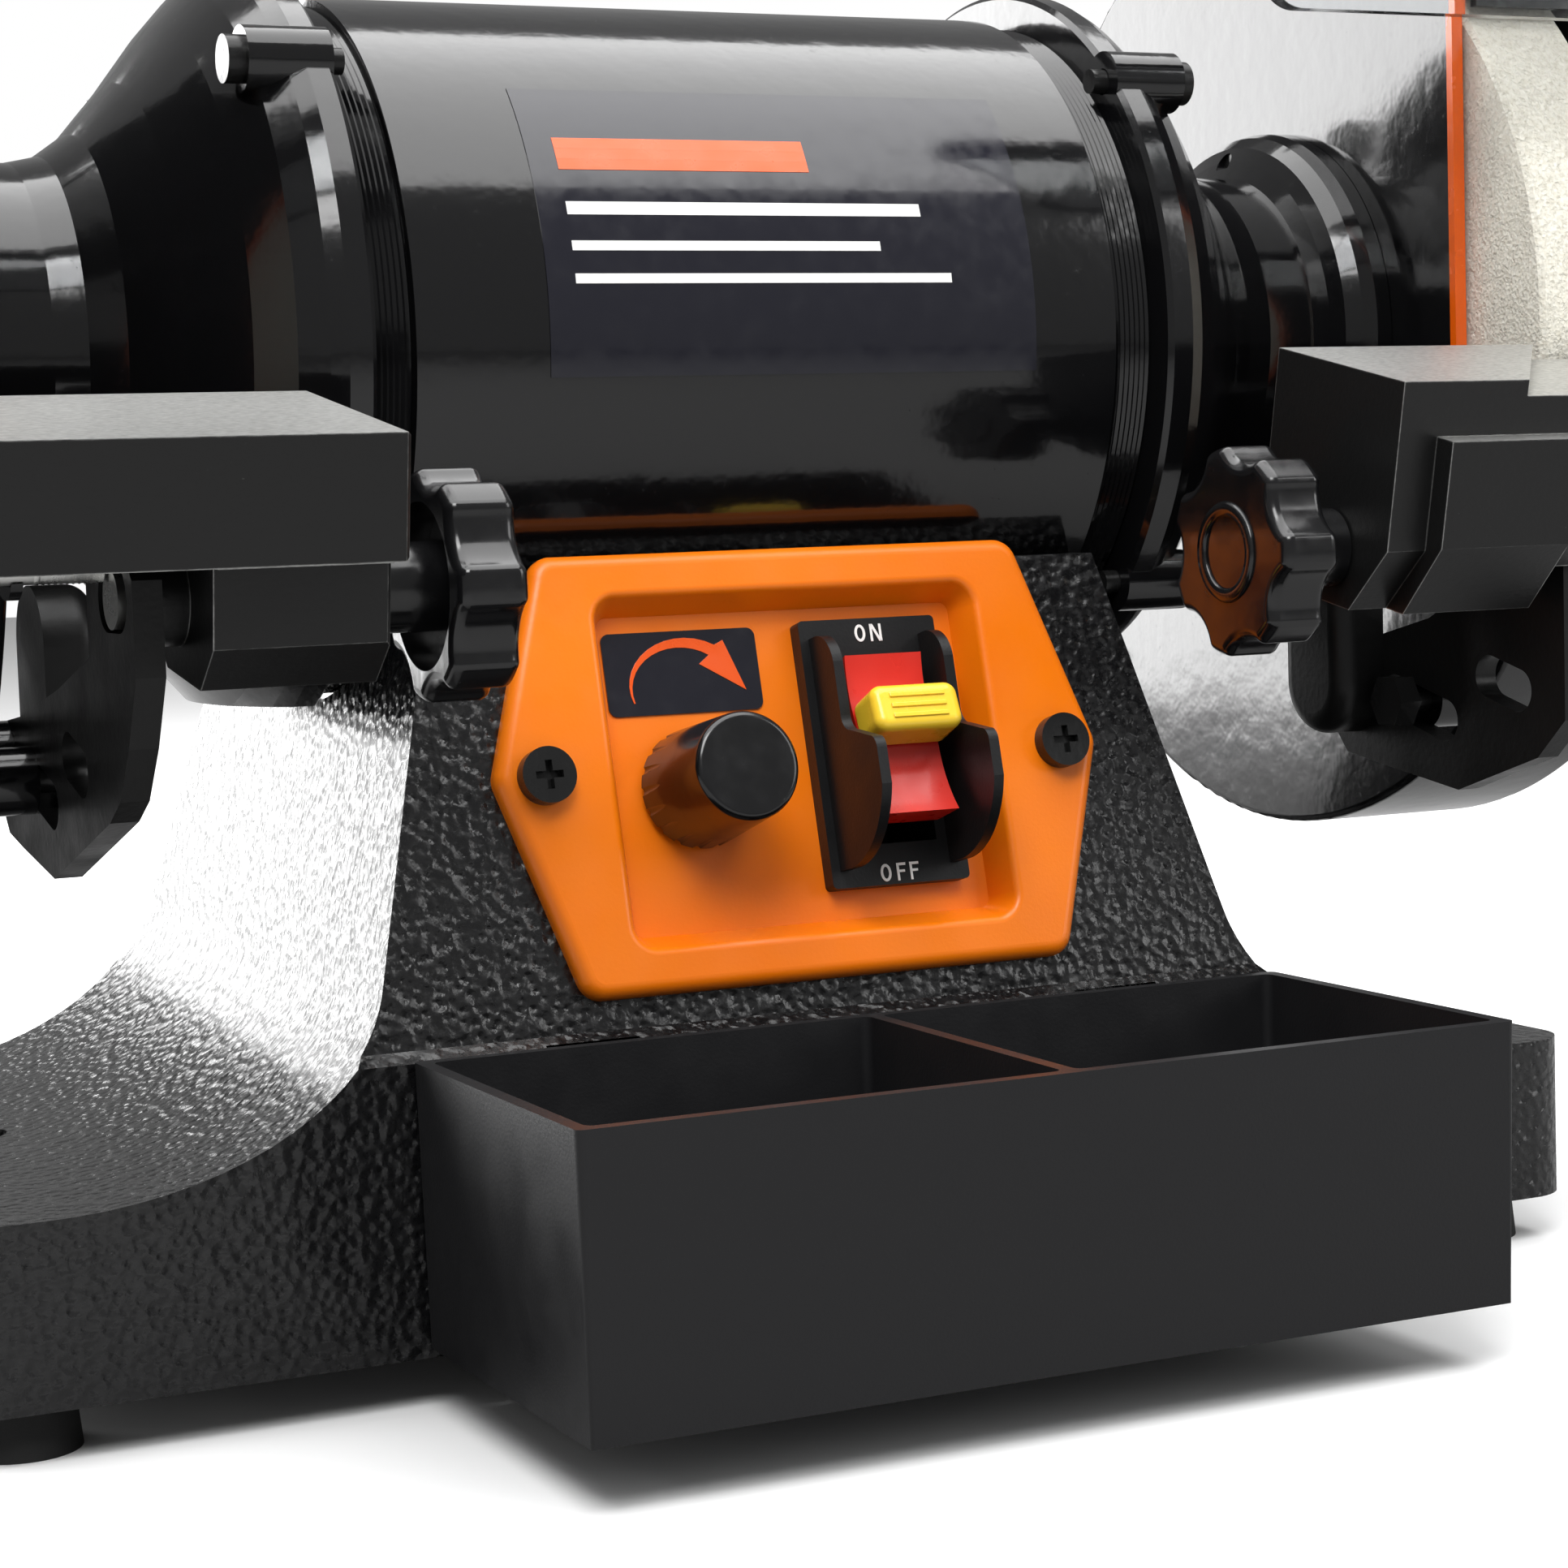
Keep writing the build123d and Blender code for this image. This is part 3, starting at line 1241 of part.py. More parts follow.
with BuildPart() as switch_housing:
    with BuildSketch(panel_plane.offset(floor_z)) as plate:
        with Locations(switch_xy):
            RectangleRounded(switch_w, switch_h, 0.8)
    extrude(plate.sketch, amount=switch_plate_t)
    with BuildSketch(panel_plane.offset(floor_z)) as body:
        with Locations(switch_xy):
            Rectangle(switch_w - 3.6, switch_h - 5.0)
    extrude(body.sketch, amount=-19.0)
    # cheeks that guard the rocker on both sides
    for edge in (-1, 1):
        cheek_x = switch_xy[0] + edge * (switch_w / 2 - cheek_inset - cheek_t / 2)
        cheek_plane = Plane(
            panel_plane.from_local_coords(Vector(cheek_x, switch_xy[1], floor_z + switch_plate_t)),
            x_dir=panel_plane.y_dir,
            z_dir=(-1, 0, 0),
        )
        with BuildSketch(cheek_plane) as cheek:
            with BuildLine():
                Line((18.3, 0.5), (-18.6, 0.5))
                Line((-18.6, 0.5), (-18.6, -2.5))
                ThreePointArc((-18.6, -2.5), (-15.4, -13.2), (-8.0, -cheek_high))
                Line((-8.0, -cheek_high), (-2.4, -cheek_high))
                ThreePointArc((-2.4, -cheek_high), (-0.9, -cheek_high + 0.6), (-0.2, -cheek_high + 2.0))
                Line((-0.2, -cheek_high + 2.0), (1.9, -cheek_low - 2.4))
                ThreePointArc((1.9, -cheek_low - 2.4), (2.8, -cheek_low - 0.7), (4.6, -cheek_low))
                Line((4.6, -cheek_low), (13.2, -cheek_low))
                ThreePointArc((13.2, -cheek_low), (16.9, -cheek_low + 1.9), (18.3, -2.0))
                Line((18.3, -2.0), (18.3, 0.5))
            make_face()
        extrude(cheek.sketch, amount=cheek_t / 2, both=True)
    with BuildSketch(panel_plane.offset(floor_z - 14.0)) as well:
        with Locations(switch_xy):
            Rectangle(rocker_w + 2 * loose_gap, 2 * rocker_half + 3.0)
    extrude(well.sketch, amount=30.0, mode=Mode.SUBTRACT)
finish(switch_housing, "switch_housing")

# the rocker's own plane: x runs up the paddle, -y points out of it
rocker_pivot = floor_z + switch_plate_t - 1.0
lean_up = panel_plane.y_dir * cos(radians(rocker_lean)) - panel_plane.z_dir * sin(radians(rocker_lean))
lean_out = panel_plane.z_dir * cos(radians(rocker_lean)) + panel_plane.y_dir * sin(radians(rocker_lean))
rocker_origin = panel_plane.from_local_coords(Vector(switch_xy[0], switch_xy[1], rocker_pivot))
rocker_side = Plane(rocker_origin, x_dir=lean_up, z_dir=(-1, 0, 0))
rocker_front = Plane(rocker_origin, x_dir=(1, 0, 0), z_dir=lean_out)

with BuildPart() as switch_rocker:
    with BuildSketch(rocker_side) as profile:
        with BuildLine():
            ThreePointArc((rocker_half, -rocker_face), (7.5, -rocker_face + 1.6), (0, -rocker_face + 1.2))
            ThreePointArc((0, -rocker_face + 1.2), (-7.5, -rocker_face + 1.6), (-rocker_half, -rocker_face))
            Line((-rocker_half, -rocker_face), (-rocker_half + 1.0, -0.5))
            Line((-rocker_half + 1.0, -0.5), (-4.0, 6.0))
            Line((-4.0, 6.0), (4.0, 6.0))
            Line((4.0, 6.0), (rocker_half - 1.0, -0.5))
            Line((rocker_half - 1.0, -0.5), (rocker_half, -rocker_face))
        make_face()
    extrude(profile.sketch, amount=rocker_w / 2, both=True)
    with BuildSketch(rocker_front.offset(1.0)) as key_slot:
        with Locations((0, key_up)):
            Rectangle(key_tongue_w + 2 * slip_gap, key_tongue_t + 2 * slip_gap)
    extrude(key_slot.sketch, amount=12.0, mode=Mode.SUBTRACT)
finish(switch_rocker, "switch_rocker")

with BuildPart() as safety_key:
    with BuildSketch(rocker_front.offset(key_seat)) as head:
        with Locations((key_shift, key_up)):
            RectangleRounded(key_w, key_h, 2.0)
    extrude(head.sketch, amount=key_t)
    head_top = safety_key.faces().filter_by(rocker_front).sort_by(Axis(rocker_origin, lean_out))[-1]
    fillet(head_top.edges(), 1.6)
    with BuildSketch(rocker_front.offset(2.0)) as tongue:
        with Locations((0, key_up)):
            Rectangle(key_tongue_w, key_tongue_t)
    extrude(tongue.sketch, amount=key_seat - 1.5)
finish(safety_key, "safety_key")

with BuildPart() as capacitor:
    with BuildSketch(Plane.YZ.offset(-30.0)) as can:
        with Locations((30.0, shaft_height - 100.0)):
            Circle(15.0)
    extrude(can.sketch, amount=60.0)
finish(capacitor, "capacitor")

with BuildPart() as speed_board:
    with BuildSketch(Plane.XY.offset(rubber_h + 17.0)) as board:
        Rectangle(70.0, 50.0)
    extrude(board.sketch, amount=1.6)
    with BuildSketch(Plane.XY.offset(rubber_h + 18.0)) as chips:
        with Locations((-20.0, 10.0), (20.0, 10.0)):
            Rectangle(16.0, 12.0)
        with Locations((0, -12.0)):
            Rectangle(44.0, 5.0)
    extrude(chips.sketch, amount=9.0)
finish(speed_board, "speed_board")

with BuildPart() as motor_label:
    # curved foil on the front of the shell
    with BuildSketch(side_at(-38.6)) as foil:
        Circle(shell_r + 0.15)
        Circle(shell_r, mode=Mode.SUBTRACT)
        with Locations((60.0, 0)):
            Rectangle(120.0, 140.0, mode=Mode.SUBTRACT)
        with Locations((0, -56.5)):
            Rectangle(140.0, 100.0, mode=Mode.SUBTRACT)
        with Locations((0, 88.0)):
            Rectangle(140.0, 100.0, mode=Mode.SUBTRACT)
    extrude(foil.sketch, amount=83.4)
finish(motor_label, "motor_label")

# ---------------------------------------------------------------- water tray
tray_back = foot_depth + tray_gap
tray_mid_y = -(tray_front + tray_back) / 2
tray_depth = tray_front - tray_back
with BuildPart() as water_tray:
    tray_top = shaft_height - tray_drop
    with BuildSketch(Plane.XY.offset(tray_top)) as outer:
        with Locations((tray_x, tray_mid_y)):
            RectangleRounded(2 * tray_half, tray_depth, 1.2)
    extrude(outer.sketch, amount=-tray_h, taper=tray_draft)
    for edge in (-1, 1):
        inside_x = tray_x + edge * (tray_half / 2 - tray_wall / 4)
        with BuildSketch(Plane.XY.offset(tray_top)) as inside:
            with Locations((inside_x, tray_mid_y)):
                RectangleRounded(tray_half - 1.5 * tray_wall, tray_depth - 2 * tray_wall, 1.5)
        extrude(inside.sketch, amount=-(tray_h - tray_wall), taper=tray_draft, mode=Mode.SUBTRACT)
    # hooks that drop into the base
    for edge in (-1, 1):
        hook_at = tray_x + edge * hook_x
        with BuildSketch(side_at(hook_at - hook_w / 2)) as hook:
            with BuildLine():
                Polyline(
                    (-tray_back - 2.0, -hook_seat + loose_gap + hook_t),
                    (-foot_depth + casting_wall + 3.0, -hook_seat + loose_gap + hook_t),
                    (-foot_depth + casting_wall + 3.0, -hook_seat - 4.2),
                    (-foot_depth + casting_wall + 0.5, -hook_seat - 4.2),
                    (-foot_depth + casting_wall + 0.5, -hook_seat + loose_gap),
                    (-tray_back - 2.0, -hook_seat + loose_gap),
                    close=True,
                )
            make_face()
        extrude(hook.sketch, amount=hook_w)
finish(water_tray, "water_tray")
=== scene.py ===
"""Bench grinder: camera, light, finishes and the detailed pieces that ride on the CAD frame."""

import json
from math import atan, cos, pi, radians, sin, sqrt

import bmesh
import bpy
from mathutils import Matrix, Vector


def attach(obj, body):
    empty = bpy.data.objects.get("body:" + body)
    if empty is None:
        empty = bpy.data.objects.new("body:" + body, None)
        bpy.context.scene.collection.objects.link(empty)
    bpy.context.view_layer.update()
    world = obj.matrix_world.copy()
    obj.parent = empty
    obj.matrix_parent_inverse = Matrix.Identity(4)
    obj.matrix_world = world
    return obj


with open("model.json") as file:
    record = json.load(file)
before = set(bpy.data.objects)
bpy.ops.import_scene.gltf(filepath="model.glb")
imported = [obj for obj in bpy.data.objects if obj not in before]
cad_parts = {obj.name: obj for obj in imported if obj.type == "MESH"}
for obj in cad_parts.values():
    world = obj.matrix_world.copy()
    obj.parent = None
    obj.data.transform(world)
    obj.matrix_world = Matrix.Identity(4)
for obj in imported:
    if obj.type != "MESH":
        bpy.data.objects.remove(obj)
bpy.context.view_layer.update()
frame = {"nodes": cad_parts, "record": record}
nodes = frame["nodes"]
scene = bpy.context.scene
MM = 0.001

# ---------------------------------------------------------------- places, in millimetres
SHAFT_Z = 157.0
PANEL_TILT = atan((67.7 - 50.8) / (104.0 - 36.2))
PANEL_AT = (-58.4025, 90.3)
RECESS_FLOOR = -2.5
SWITCH_AT = (14.2, 1.0)
LABEL_AT = (-17.2, 15.8)
ROCKER_LEAN = radians(11.5)


def on_panel(x, y, z=0.0):
    """A place on the inclined panel, in metres; x is right, y up it and z out of it."""
    s, c = sin(PANEL_TILT), cos(PANEL_TILT)
    return Vector((x, PANEL_AT[0] + y * s - z * c, PANEL_AT[1] + y * c + z * s)) * MM


def on_rocker(x, along, out):
    """A place on the leaning rocker, in metres, measured from its pivot."""
    s, c = sin(ROCKER_LEAN), cos(ROCKER_LEAN)
    up = SWITCH_AT[1] + along * c + out * s
    height = RECESS_FLOOR + 2.0 - along * s + out * c
    return on_panel(SWITCH_AT[0] + x, up, height)


# ---------------------------------------------------------------- camera
CAMERA_AT = (-0.22557, -0.53061, 0.13205)
CAMERA_YAW = radians(25.209)
CAMERA_PITCH = radians(-4.917)
CAMERA_ROLL = -0.032
LENS = 77.41


def make_camera():
    """The photograph's viewpoint."""
    data = bpy.data.cameras.new("camera")
    data.lens = LENS
    data.sensor_width = 36.0
    data.clip_start = 0.01
    camera = bpy.data.objects.new("camera", data)
    scene.collection.objects.link(camera)
    forward = Vector(
        (
            cos(CAMERA_PITCH) * sin(CAMERA_YAW),
            cos(CAMERA_PITCH) * cos(CAMERA_YAW),
            sin(CAMERA_PITCH),
        )
    )
    level = Vector((cos(CAMERA_YAW), -sin(CAMERA_YAW), 0.0))
    upright = level.cross(forward)
    right = level * cos(CAMERA_ROLL) + upright * sin(CAMERA_ROLL)
    up = upright * cos(CAMERA_ROLL) - level * sin(CAMERA_ROLL)
    turn = Matrix((right, up, -forward)).transposed().to_4x4()
    camera.matrix_world = Matrix.Translation(CAMERA_AT) @ turn
    scene.camera = camera


make_camera()

# ---------------------------------------------------------------- light and floor


def area_light(name, place, target, size, power, colour=(1, 1, 1)):
    """A soft box that looks at a point."""
    data = bpy.data.lights.new(name, "AREA")
    data.shape = "RECTANGLE"
    data.size, data.size_y = size
    data.energy = power
    data.color = colour
    lamp = bpy.data.objects.new(name, data)
    scene.collection.objects.link(lamp)
    lamp.location = place
    lamp.rotation_euler = (Vector(target) - Vector(place)).to_track_quat("-Z", "Y").to_euler()
    return lamp


def make_studio():
    """White surround that lights the object only a little, a pale floor and soft boxes."""
    world = bpy.data.worlds.new("studio")
    scene.world = world
    world.use_nodes = True
    background = world.node_tree.nodes["Background"]
    background.inputs["Color"].default_value = (1, 1, 1, 1)
    seen = world.node_tree.nodes.new("ShaderNodeLightPath")
    strength = world.node_tree.nodes.new("ShaderNodeMapRange")
    strength.inputs["To Min"].default_value = 0.28
    strength.inputs["To Max"].default_value = 1.0
    world.node_tree.links.new(seen.outputs["Is Camera Ray"], strength.inputs["Value"])
    world.node_tree.links.new(strength.outputs["Result"], background.inputs["Strength"])
    area_light("overhead", (0.0, -0.1, 1.7), (0, 0, 0), (2.2, 2.2), 62.0)
    area_light("key", (-0.5, -0.9, 1.1), (0, 0, 0.1), (0.6, 0.6), 11.0)
    area_light("fill_right", (1.0, -0.8, 0.6), (0, 0, 0.1), (0.5, 0.7), 4.0)
    area_light("rim_left", (-0.75, 1.0, 0.35), (-0.1, 0, 0.07), (1.1, 0.8), 22.0)
    size = 4.0
    corners = [(-size, -size, 0), (size, -size, 0), (size, size, 0), (-size, size, 0)]
    mesh = bpy.data.meshes.new("floor")
    mesh.from_pydata(corners, [], [(0, 1, 2, 3)])
    floor = bpy.data.objects.new("floor", mesh)
    scene.collection.objects.link(floor)
    mat = bpy.data.materials.new("floor")
    mat.use_nodes = True
    shader = mat.node_tree.nodes["Principled BSDF"]
    shader.inputs["Roughness"].default_value = 0.9
    shader.inputs["Specular IOR Level"].default_value = 0.0
    path = mat.node_tree.nodes.new("ShaderNodeLightPath")
    shade = mat.node_tree.nodes.new("ShaderNodeMapRange")
    shade.inputs["To Min"].default_value = 0.3
    shade.inputs["To Max"].default_value = 0.96
    mat.node_tree.links.new(path.outputs["Is Camera Ray"], shade.inputs["Value"])
    mat.node_tree.links.new(shade.outputs["Result"], shader.inputs["Base Color"])
    mesh.materials.append(mat)
    scene.view_settings.view_transform = "Standard"


make_studio()

# ---------------------------------------------------------------- material helpers


class Finish:
    """A Principled material with a small vocabulary for building its nodes."""

    def __init__(self, name, colour, rough, metal=0.0, coat=0.0, coat_rough=0.05, spec=0.5):
        self.material = bpy.data.materials.new(name)
        self.material.use_nodes = True
        self.tree = self.material.node_tree
        self.shader = self.tree.nodes["Principled BSDF"]
        self.set("Base Color", (*colour, 1.0))
        self.set("Roughness", rough)
        self.set("Metallic", metal)
        self.set("Coat Weight", coat)
        self.set("Coat Roughness", coat_rough)
        self.set("Specular IOR Level", spec)
        self.where = self.node("ShaderNodeTexCoord").outputs["Object"]
        self.bumped = None

    def set(self, name, value):
        self.shader.inputs[name].default_value = value

    def node(self, kind, **settings):
        made = self.tree.nodes.new(kind)
        for key, value in settings.items():
            setattr(made, key, value)
        return made

    def link(self, source, target):
        self.tree.links.new(source, target)

    def stretched(self, scale):
        """Coordinates scaled along each axis, for grain with a direction."""
        mapping = self.node("ShaderNodeMapping")
        mapping.inputs["Scale"].default_value = scale
        self.link(self.where, mapping.inputs["Vector"])
        return mapping.outputs["Vector"]

    def noise(self, size, detail=2.0, rough=0.5, where=None, distortion=0.0):
        """Noise whose lumps are about size metres across."""
        tex = self.node("ShaderNodeTexNoise")
        tex.inputs["Scale"].default_value = 1.0 / size
        tex.inputs["Detail"].default_value = detail
        tex.inputs["Roughness"].default_value = rough
        tex.inputs["Distortion"].default_value = distortion
        self.link(where or self.where, tex.inputs["Vector"])
        return tex.outputs["Fac"]

    def cells(self, size, feature="F1", where=None, smooth=0.5):
        """Cell pattern whose cells are about size metres across."""
        tex = self.node("ShaderNodeTexVoronoi", feature=feature)
        tex.inputs["Scale"].default_value = 1.0 / size
        if feature == "SMOOTH_F1":
            tex.inputs["Smoothness"].default_value = smooth
        self.link(where or self.where, tex.inputs["Vector"])
        return tex.outputs["Distance"]

    def ramp(self, source, stops):
        """A value or colour ramp; stops are (position, grey or colour)."""
        ramp = self.node("ShaderNodeValToRGB")
        points = ramp.color_ramp.elements
        while len(points) < len(stops):
            points.new(0.5)
        for point, (place, shade) in zip(points, stops):
            point.position = place
            point.color = (*shade, 1) if isinstance(shade, tuple) else (shade, shade, shade, 1)
        self.link(source, ramp.inputs["Fac"])
        return ramp.outputs["Color"]

    def sum(self, first, second, share=0.5):
        """first + share * second."""
        made = self.node("ShaderNodeMath", operation="MULTIPLY_ADD")
        self.link(second, made.inputs[0])
        made.inputs[1].default_value = share
        self.link(first, made.inputs[2])
        return made.outputs[0]

    def times(self, first, second):
        made = self.node("ShaderNodeMath", operation="MULTIPLY")
        self.link(first, made.inputs[0])
        self.link(second, made.inputs[1])
        return made.outputs[0]

    def bump(self, height, depth, strength=1.0):
        """Adds a bump of that depth in metres on top of the last one."""
        bump = self.node("ShaderNodeBump")
        bump.inputs["Strength"].default_value = strength
        bump.inputs["Distance"].default_value = depth
        self.link(height, bump.inputs["Height"])
        if self.bumped:
            self.link(self.bumped, bump.inputs["Normal"])
        self.bumped = bump.outputs["Normal"]
        self.link(self.bumped, self.shader.inputs["Normal"])

    def colour(self, source):
        self.link(source, self.shader.inputs["Base Color"])

    def rough(self, source):
        self.link(source, self.shader.inputs["Roughness"])

    def mix(self, factor, first, second):
        """Mix of two colours or sockets."""
        made = self.node("ShaderNodeMix", data_type="RGBA")
        self.link(factor, made.inputs["Factor"])
        for name, value in (("A", first), ("B", second)):
            socket = [s for s in made.inputs if s.name == name and s.type == "RGBA"][0]
            if isinstance(value, tuple):
                socket.default_value = (*value, 1)
            else:
                self.link(value, socket)
        return [s for s in made.outputs if s.type == "RGBA"][0]

    def worn_edges(self, radius=0.0012, low=0.02, high=0.12):
        """1 along sharp edges, 0 elsewhere, broken up by noise."""
        bevel = self.node("ShaderNodeBevel", samples=6)
        bevel.inputs["Radius"].default_value = radius
        geometry = self.node("ShaderNodeNewGeometry")
        dot = self.node("ShaderNodeVectorMath", operation="DOT_PRODUCT")
        self.link(bevel.outputs["Normal"], dot.inputs[0])
        self.link(geometry.outputs["Normal"], dot.inputs[1])
        invert = self.node("ShaderNodeMath", operation="SUBTRACT")
        invert.inputs[0].default_value = 1.0
        self.link(dot.outputs["Value"], invert.inputs[1])
        broken = self.noise(0.003, 3.0)
        edge = self.times(invert.outputs[0], broken)
        return self.ramp(edge, [(low, 0.0), (high, 1.0)])


# ---------------------------------------------------------------- finishes


def hammered_casting():
    """Black hammered enamel on cast iron."""
    f = Finish("hammered_casting", (0.005, 0.005, 0.0055), 0.3, coat=0.3, coat_rough=0.12)
    lumps = f.cells(0.0016, "SMOOTH_F1", smooth=0.8)
    f.bump(f.sum(lumps, f.noise(0.0024, 2.0), 0.6), 0.00055)
    f.bump(f.noise(0.0007, 3.0), 0.00008)
    f.rough(f.ramp(f.noise(0.0014, 3.0), [(0.35, 0.18), (0.7, 0.4)]))
    return f.material


def gloss_black():
    """Sprayed gloss enamel with a little orange peel."""
    f = Finish("gloss_black", (0.004, 0.004, 0.0045), 0.17, coat=0.3, coat_rough=0.05, spec=0.45)
    f.bump(f.noise(0.004, 2.0), 0.00006)
    f.bump(f.noise(0.022, 1.0), 0.00016)
    dust = f.ramp(f.noise(0.0012, 4.0, 0.7), [(0.60, 0.13), (0.76, 0.30)])
    f.rough(dust)
    return f.material


def satin_black(name="satin_black", shade=0.016, rough=0.4):
    """Powder coat on sheet steel."""
    f = Finish(name, (shade, shade, shade), rough, spec=0.3)
    f.bump(f.noise(0.0012, 3.0), 0.00005)
    f.rough(f.ramp(f.noise(0.01, 4.0), [(0.3, rough - 0.07), (0.7, rough + 0.08)]))
    return f.material


def orange_plastic():
    """Moulded orange panel with a fine satin skin."""
    f = Finish("orange_plastic", (0.88, 0.19, 0.002), 0.34, spec=0.45)
    f.set("Subsurface Weight", 0.05)
    f.set("Subsurface Radius", (0.004, 0.0015, 0.0005))
    f.colour(f.ramp(f.noise(0.03, 3.0), [(0.25, (0.84, 0.17, 0.001)), (0.75, (0.91, 0.205, 0.003))]))
    f.bump(f.noise(0.0006, 3.0), 0.00002)
    f.bump(f.noise(0.016, 1.0), 0.00012)
    f.rough(f.ramp(f.noise(0.007, 4.0), [(0.3, 0.28), (0.75, 0.42)]))
    return f.material


def gloss_orange():
    f = Finish("gloss_orange", (0.86, 0.12, 0.002), 0.24, coat=0.2)
    f.bump(f.noise(0.004, 2.0), 0.00003)
    f.rough(f.ramp(f.noise(0.006, 3.0), [(0.3, 0.18), (0.7, 0.3)]))
    return f.material


def matte_plastic(name, shade, rough, grain=0.0005, depth=0.00003):
    """Moulded plastic with a spark-eroded skin."""
    f = Finish(name, shade, rough, spec=0.32)
    f.bump(f.noise(grain, 3.0), depth)
    f.rough(f.ramp(f.noise(0.009, 4.0), [(0.3, rough - 0.05), (0.75, rough + 0.1)]))
    return f.material


def gloss_plastic(name, shade, rough=0.18):
    f = Finish(name, shade, rough, coat=0.15)
    f.bump(f.noise(0.006, 2.0), 0.00005)
    f.rough(f.ramp(f.noise(0.004, 4.0), [(0.35, rough - 0.04), (0.75, rough + 0.12)]))
    return f.material


def plated_steel(name="plated_steel", shade=(0.62, 0.62, 0.6), rough=0.28):
    """Zinc plate over turned steel."""
    f = Finish(name, shade, rough, metal=1.0)
    rings = f.noise(0.0004, 2.0, where=f.stretched((6.0, 0.4, 0.4)))
    f.bump(rings, 0.00001)
    f.rough(f.ramp(f.noise(0.003, 4.0), [(0.3, rough - 0.08), (0.75, rough + 0.15)]))
    return f.material


def rest_finish():
    """Cast aluminium painted black, ground bare on top and rubbed through on its edges."""
    f = Finish("rest_finish", (0.008, 0.008, 0.008), 0.38, spec=0.35)
    coords = f.tree.nodes["Texture Coordinate"]
    split = f.node("ShaderNodeSeparateXYZ")
    f.link(coords.outputs["Normal"], split.inputs[0])
    top = f.ramp(split.outputs["Z"], [(0.93, 0.0), (0.945, 1.0)])
    grind = f.noise(0.0004, 4.0, where=f.stretched((0.35, 1.0, 1.0)))
    wear = f.worn_edges(0.0005, 0.05, 0.12)
    nicks = f.ramp(f.noise(0.0016, 5.0, 0.8), [(0.70, 0.0), (0.75, 1.0)])
    bare = f.node("ShaderNodeMath", operation="MAXIMUM")
    f.link(top, bare.inputs[0])
    f.link(wear, bare.inputs[1])
    both = f.node("ShaderNodeMath", operation="MAXIMUM")
    f.link(bare.outputs[0], both.inputs[0])
    faint = f.node("ShaderNodeMath", operation="MULTIPLY")
    f.link(nicks, faint.inputs[0])
    faint.inputs[1].default_value = 0.25
    f.link(faint.outputs[0], both.inputs[1])
    metal = f.ramp(grind, [(0.3, (0.42, 0.42, 0.41)), (0.7, (0.68, 0.68, 0.66))])
    f.colour(f.mix(both.outputs[0], (0.007, 0.007, 0.007), metal))
    f.link(both.outputs[0], f.shader.inputs["Metallic"])
    f.rough(f.ramp(both.outputs[0], [(0.0, 0.38), (1.0, 0.42)]))
    f.bump(grind, 0.00002)
    f.bump(f.noise(0.0012, 4.0), 0.00004)
    return f.material


def white_abrasive():
    """White aluminium oxide: sharp grains with open pores."""
    f = Finish("white_abrasive", (0.83, 0.80, 0.70), 0.9, spec=0.3)
    grains = f.cells(0.0007)
    pores = f.ramp(f.noise(0.0009, 4.0, 0.7), [(0.32, 0.0), (0.5, 1.0)])
    speck = f.noise(0.001, 4.0, 0.7)
    shade = f.ramp(speck, [(0.3, (0.70, 0.66, 0.55)), (0.5, (0.82, 0.79, 0.69)), (0.8, (0.88, 0.86, 0.78))])
    f.colour(shade)
    f.bump(pores, 0.00014)
    f.bump(grains, 0.00014)
    return f.material


def paper():
    f = Finish("blotter_paper", (0.55, 0.50, 0.36), 0.85)
    f.bump(f.noise(0.0008, 5.0), 0.00004)
    return f.material


def laminated_steel():
    f = Finish("laminated_steel", (0.33, 0.33, 0.34), 0.42, metal=0.9)
    f.bump(f.noise(0.0005, 2.0, where=f.stretched((4.0, 0.2, 0.2))), 0.00006)
    return f.material


def copper_wire():
    f = Finish("copper_wire", (0.70, 0.27, 0.09), 0.3, metal=1.0, coat=0.4)
    f.bump(f.noise(0.0009, 2.0, where=f.stretched((5.0, 0.3, 0.3))), 0.0003)
    return f.material


def clear_plastic():
    """Polycarbonate with a few wipe marks."""
    f = Finish("clear_plastic", (0.97, 0.99, 1.0), 0.05, coat=0.2)
    f.set("Transmission Weight", 1.0)
    f.set("IOR", 1.3)
    f.rough(f.ramp(f.noise(0.02, 5.0, 0.7), [(0.45, 0.03), (0.8, 0.16)]))
    return f.material


def rubber():
    f = Finish("rubber_black", (0.018, 0.018, 0.018), 0.75)
    f.bump(f.noise(0.0008, 4.0), 0.00006)
    return f.material


def circuit_board():
    f = Finish("circuit_board", (0.03, 0.18, 0.07), 0.4, coat=0.3)
    tracks = f.cells(0.006, "DISTANCE_TO_EDGE")
    f.colour(f.ramp(tracks, [(0.03, (0.10, 0.30, 0.14)), (0.08, (0.02, 0.15, 0.06))]))
    return f.material


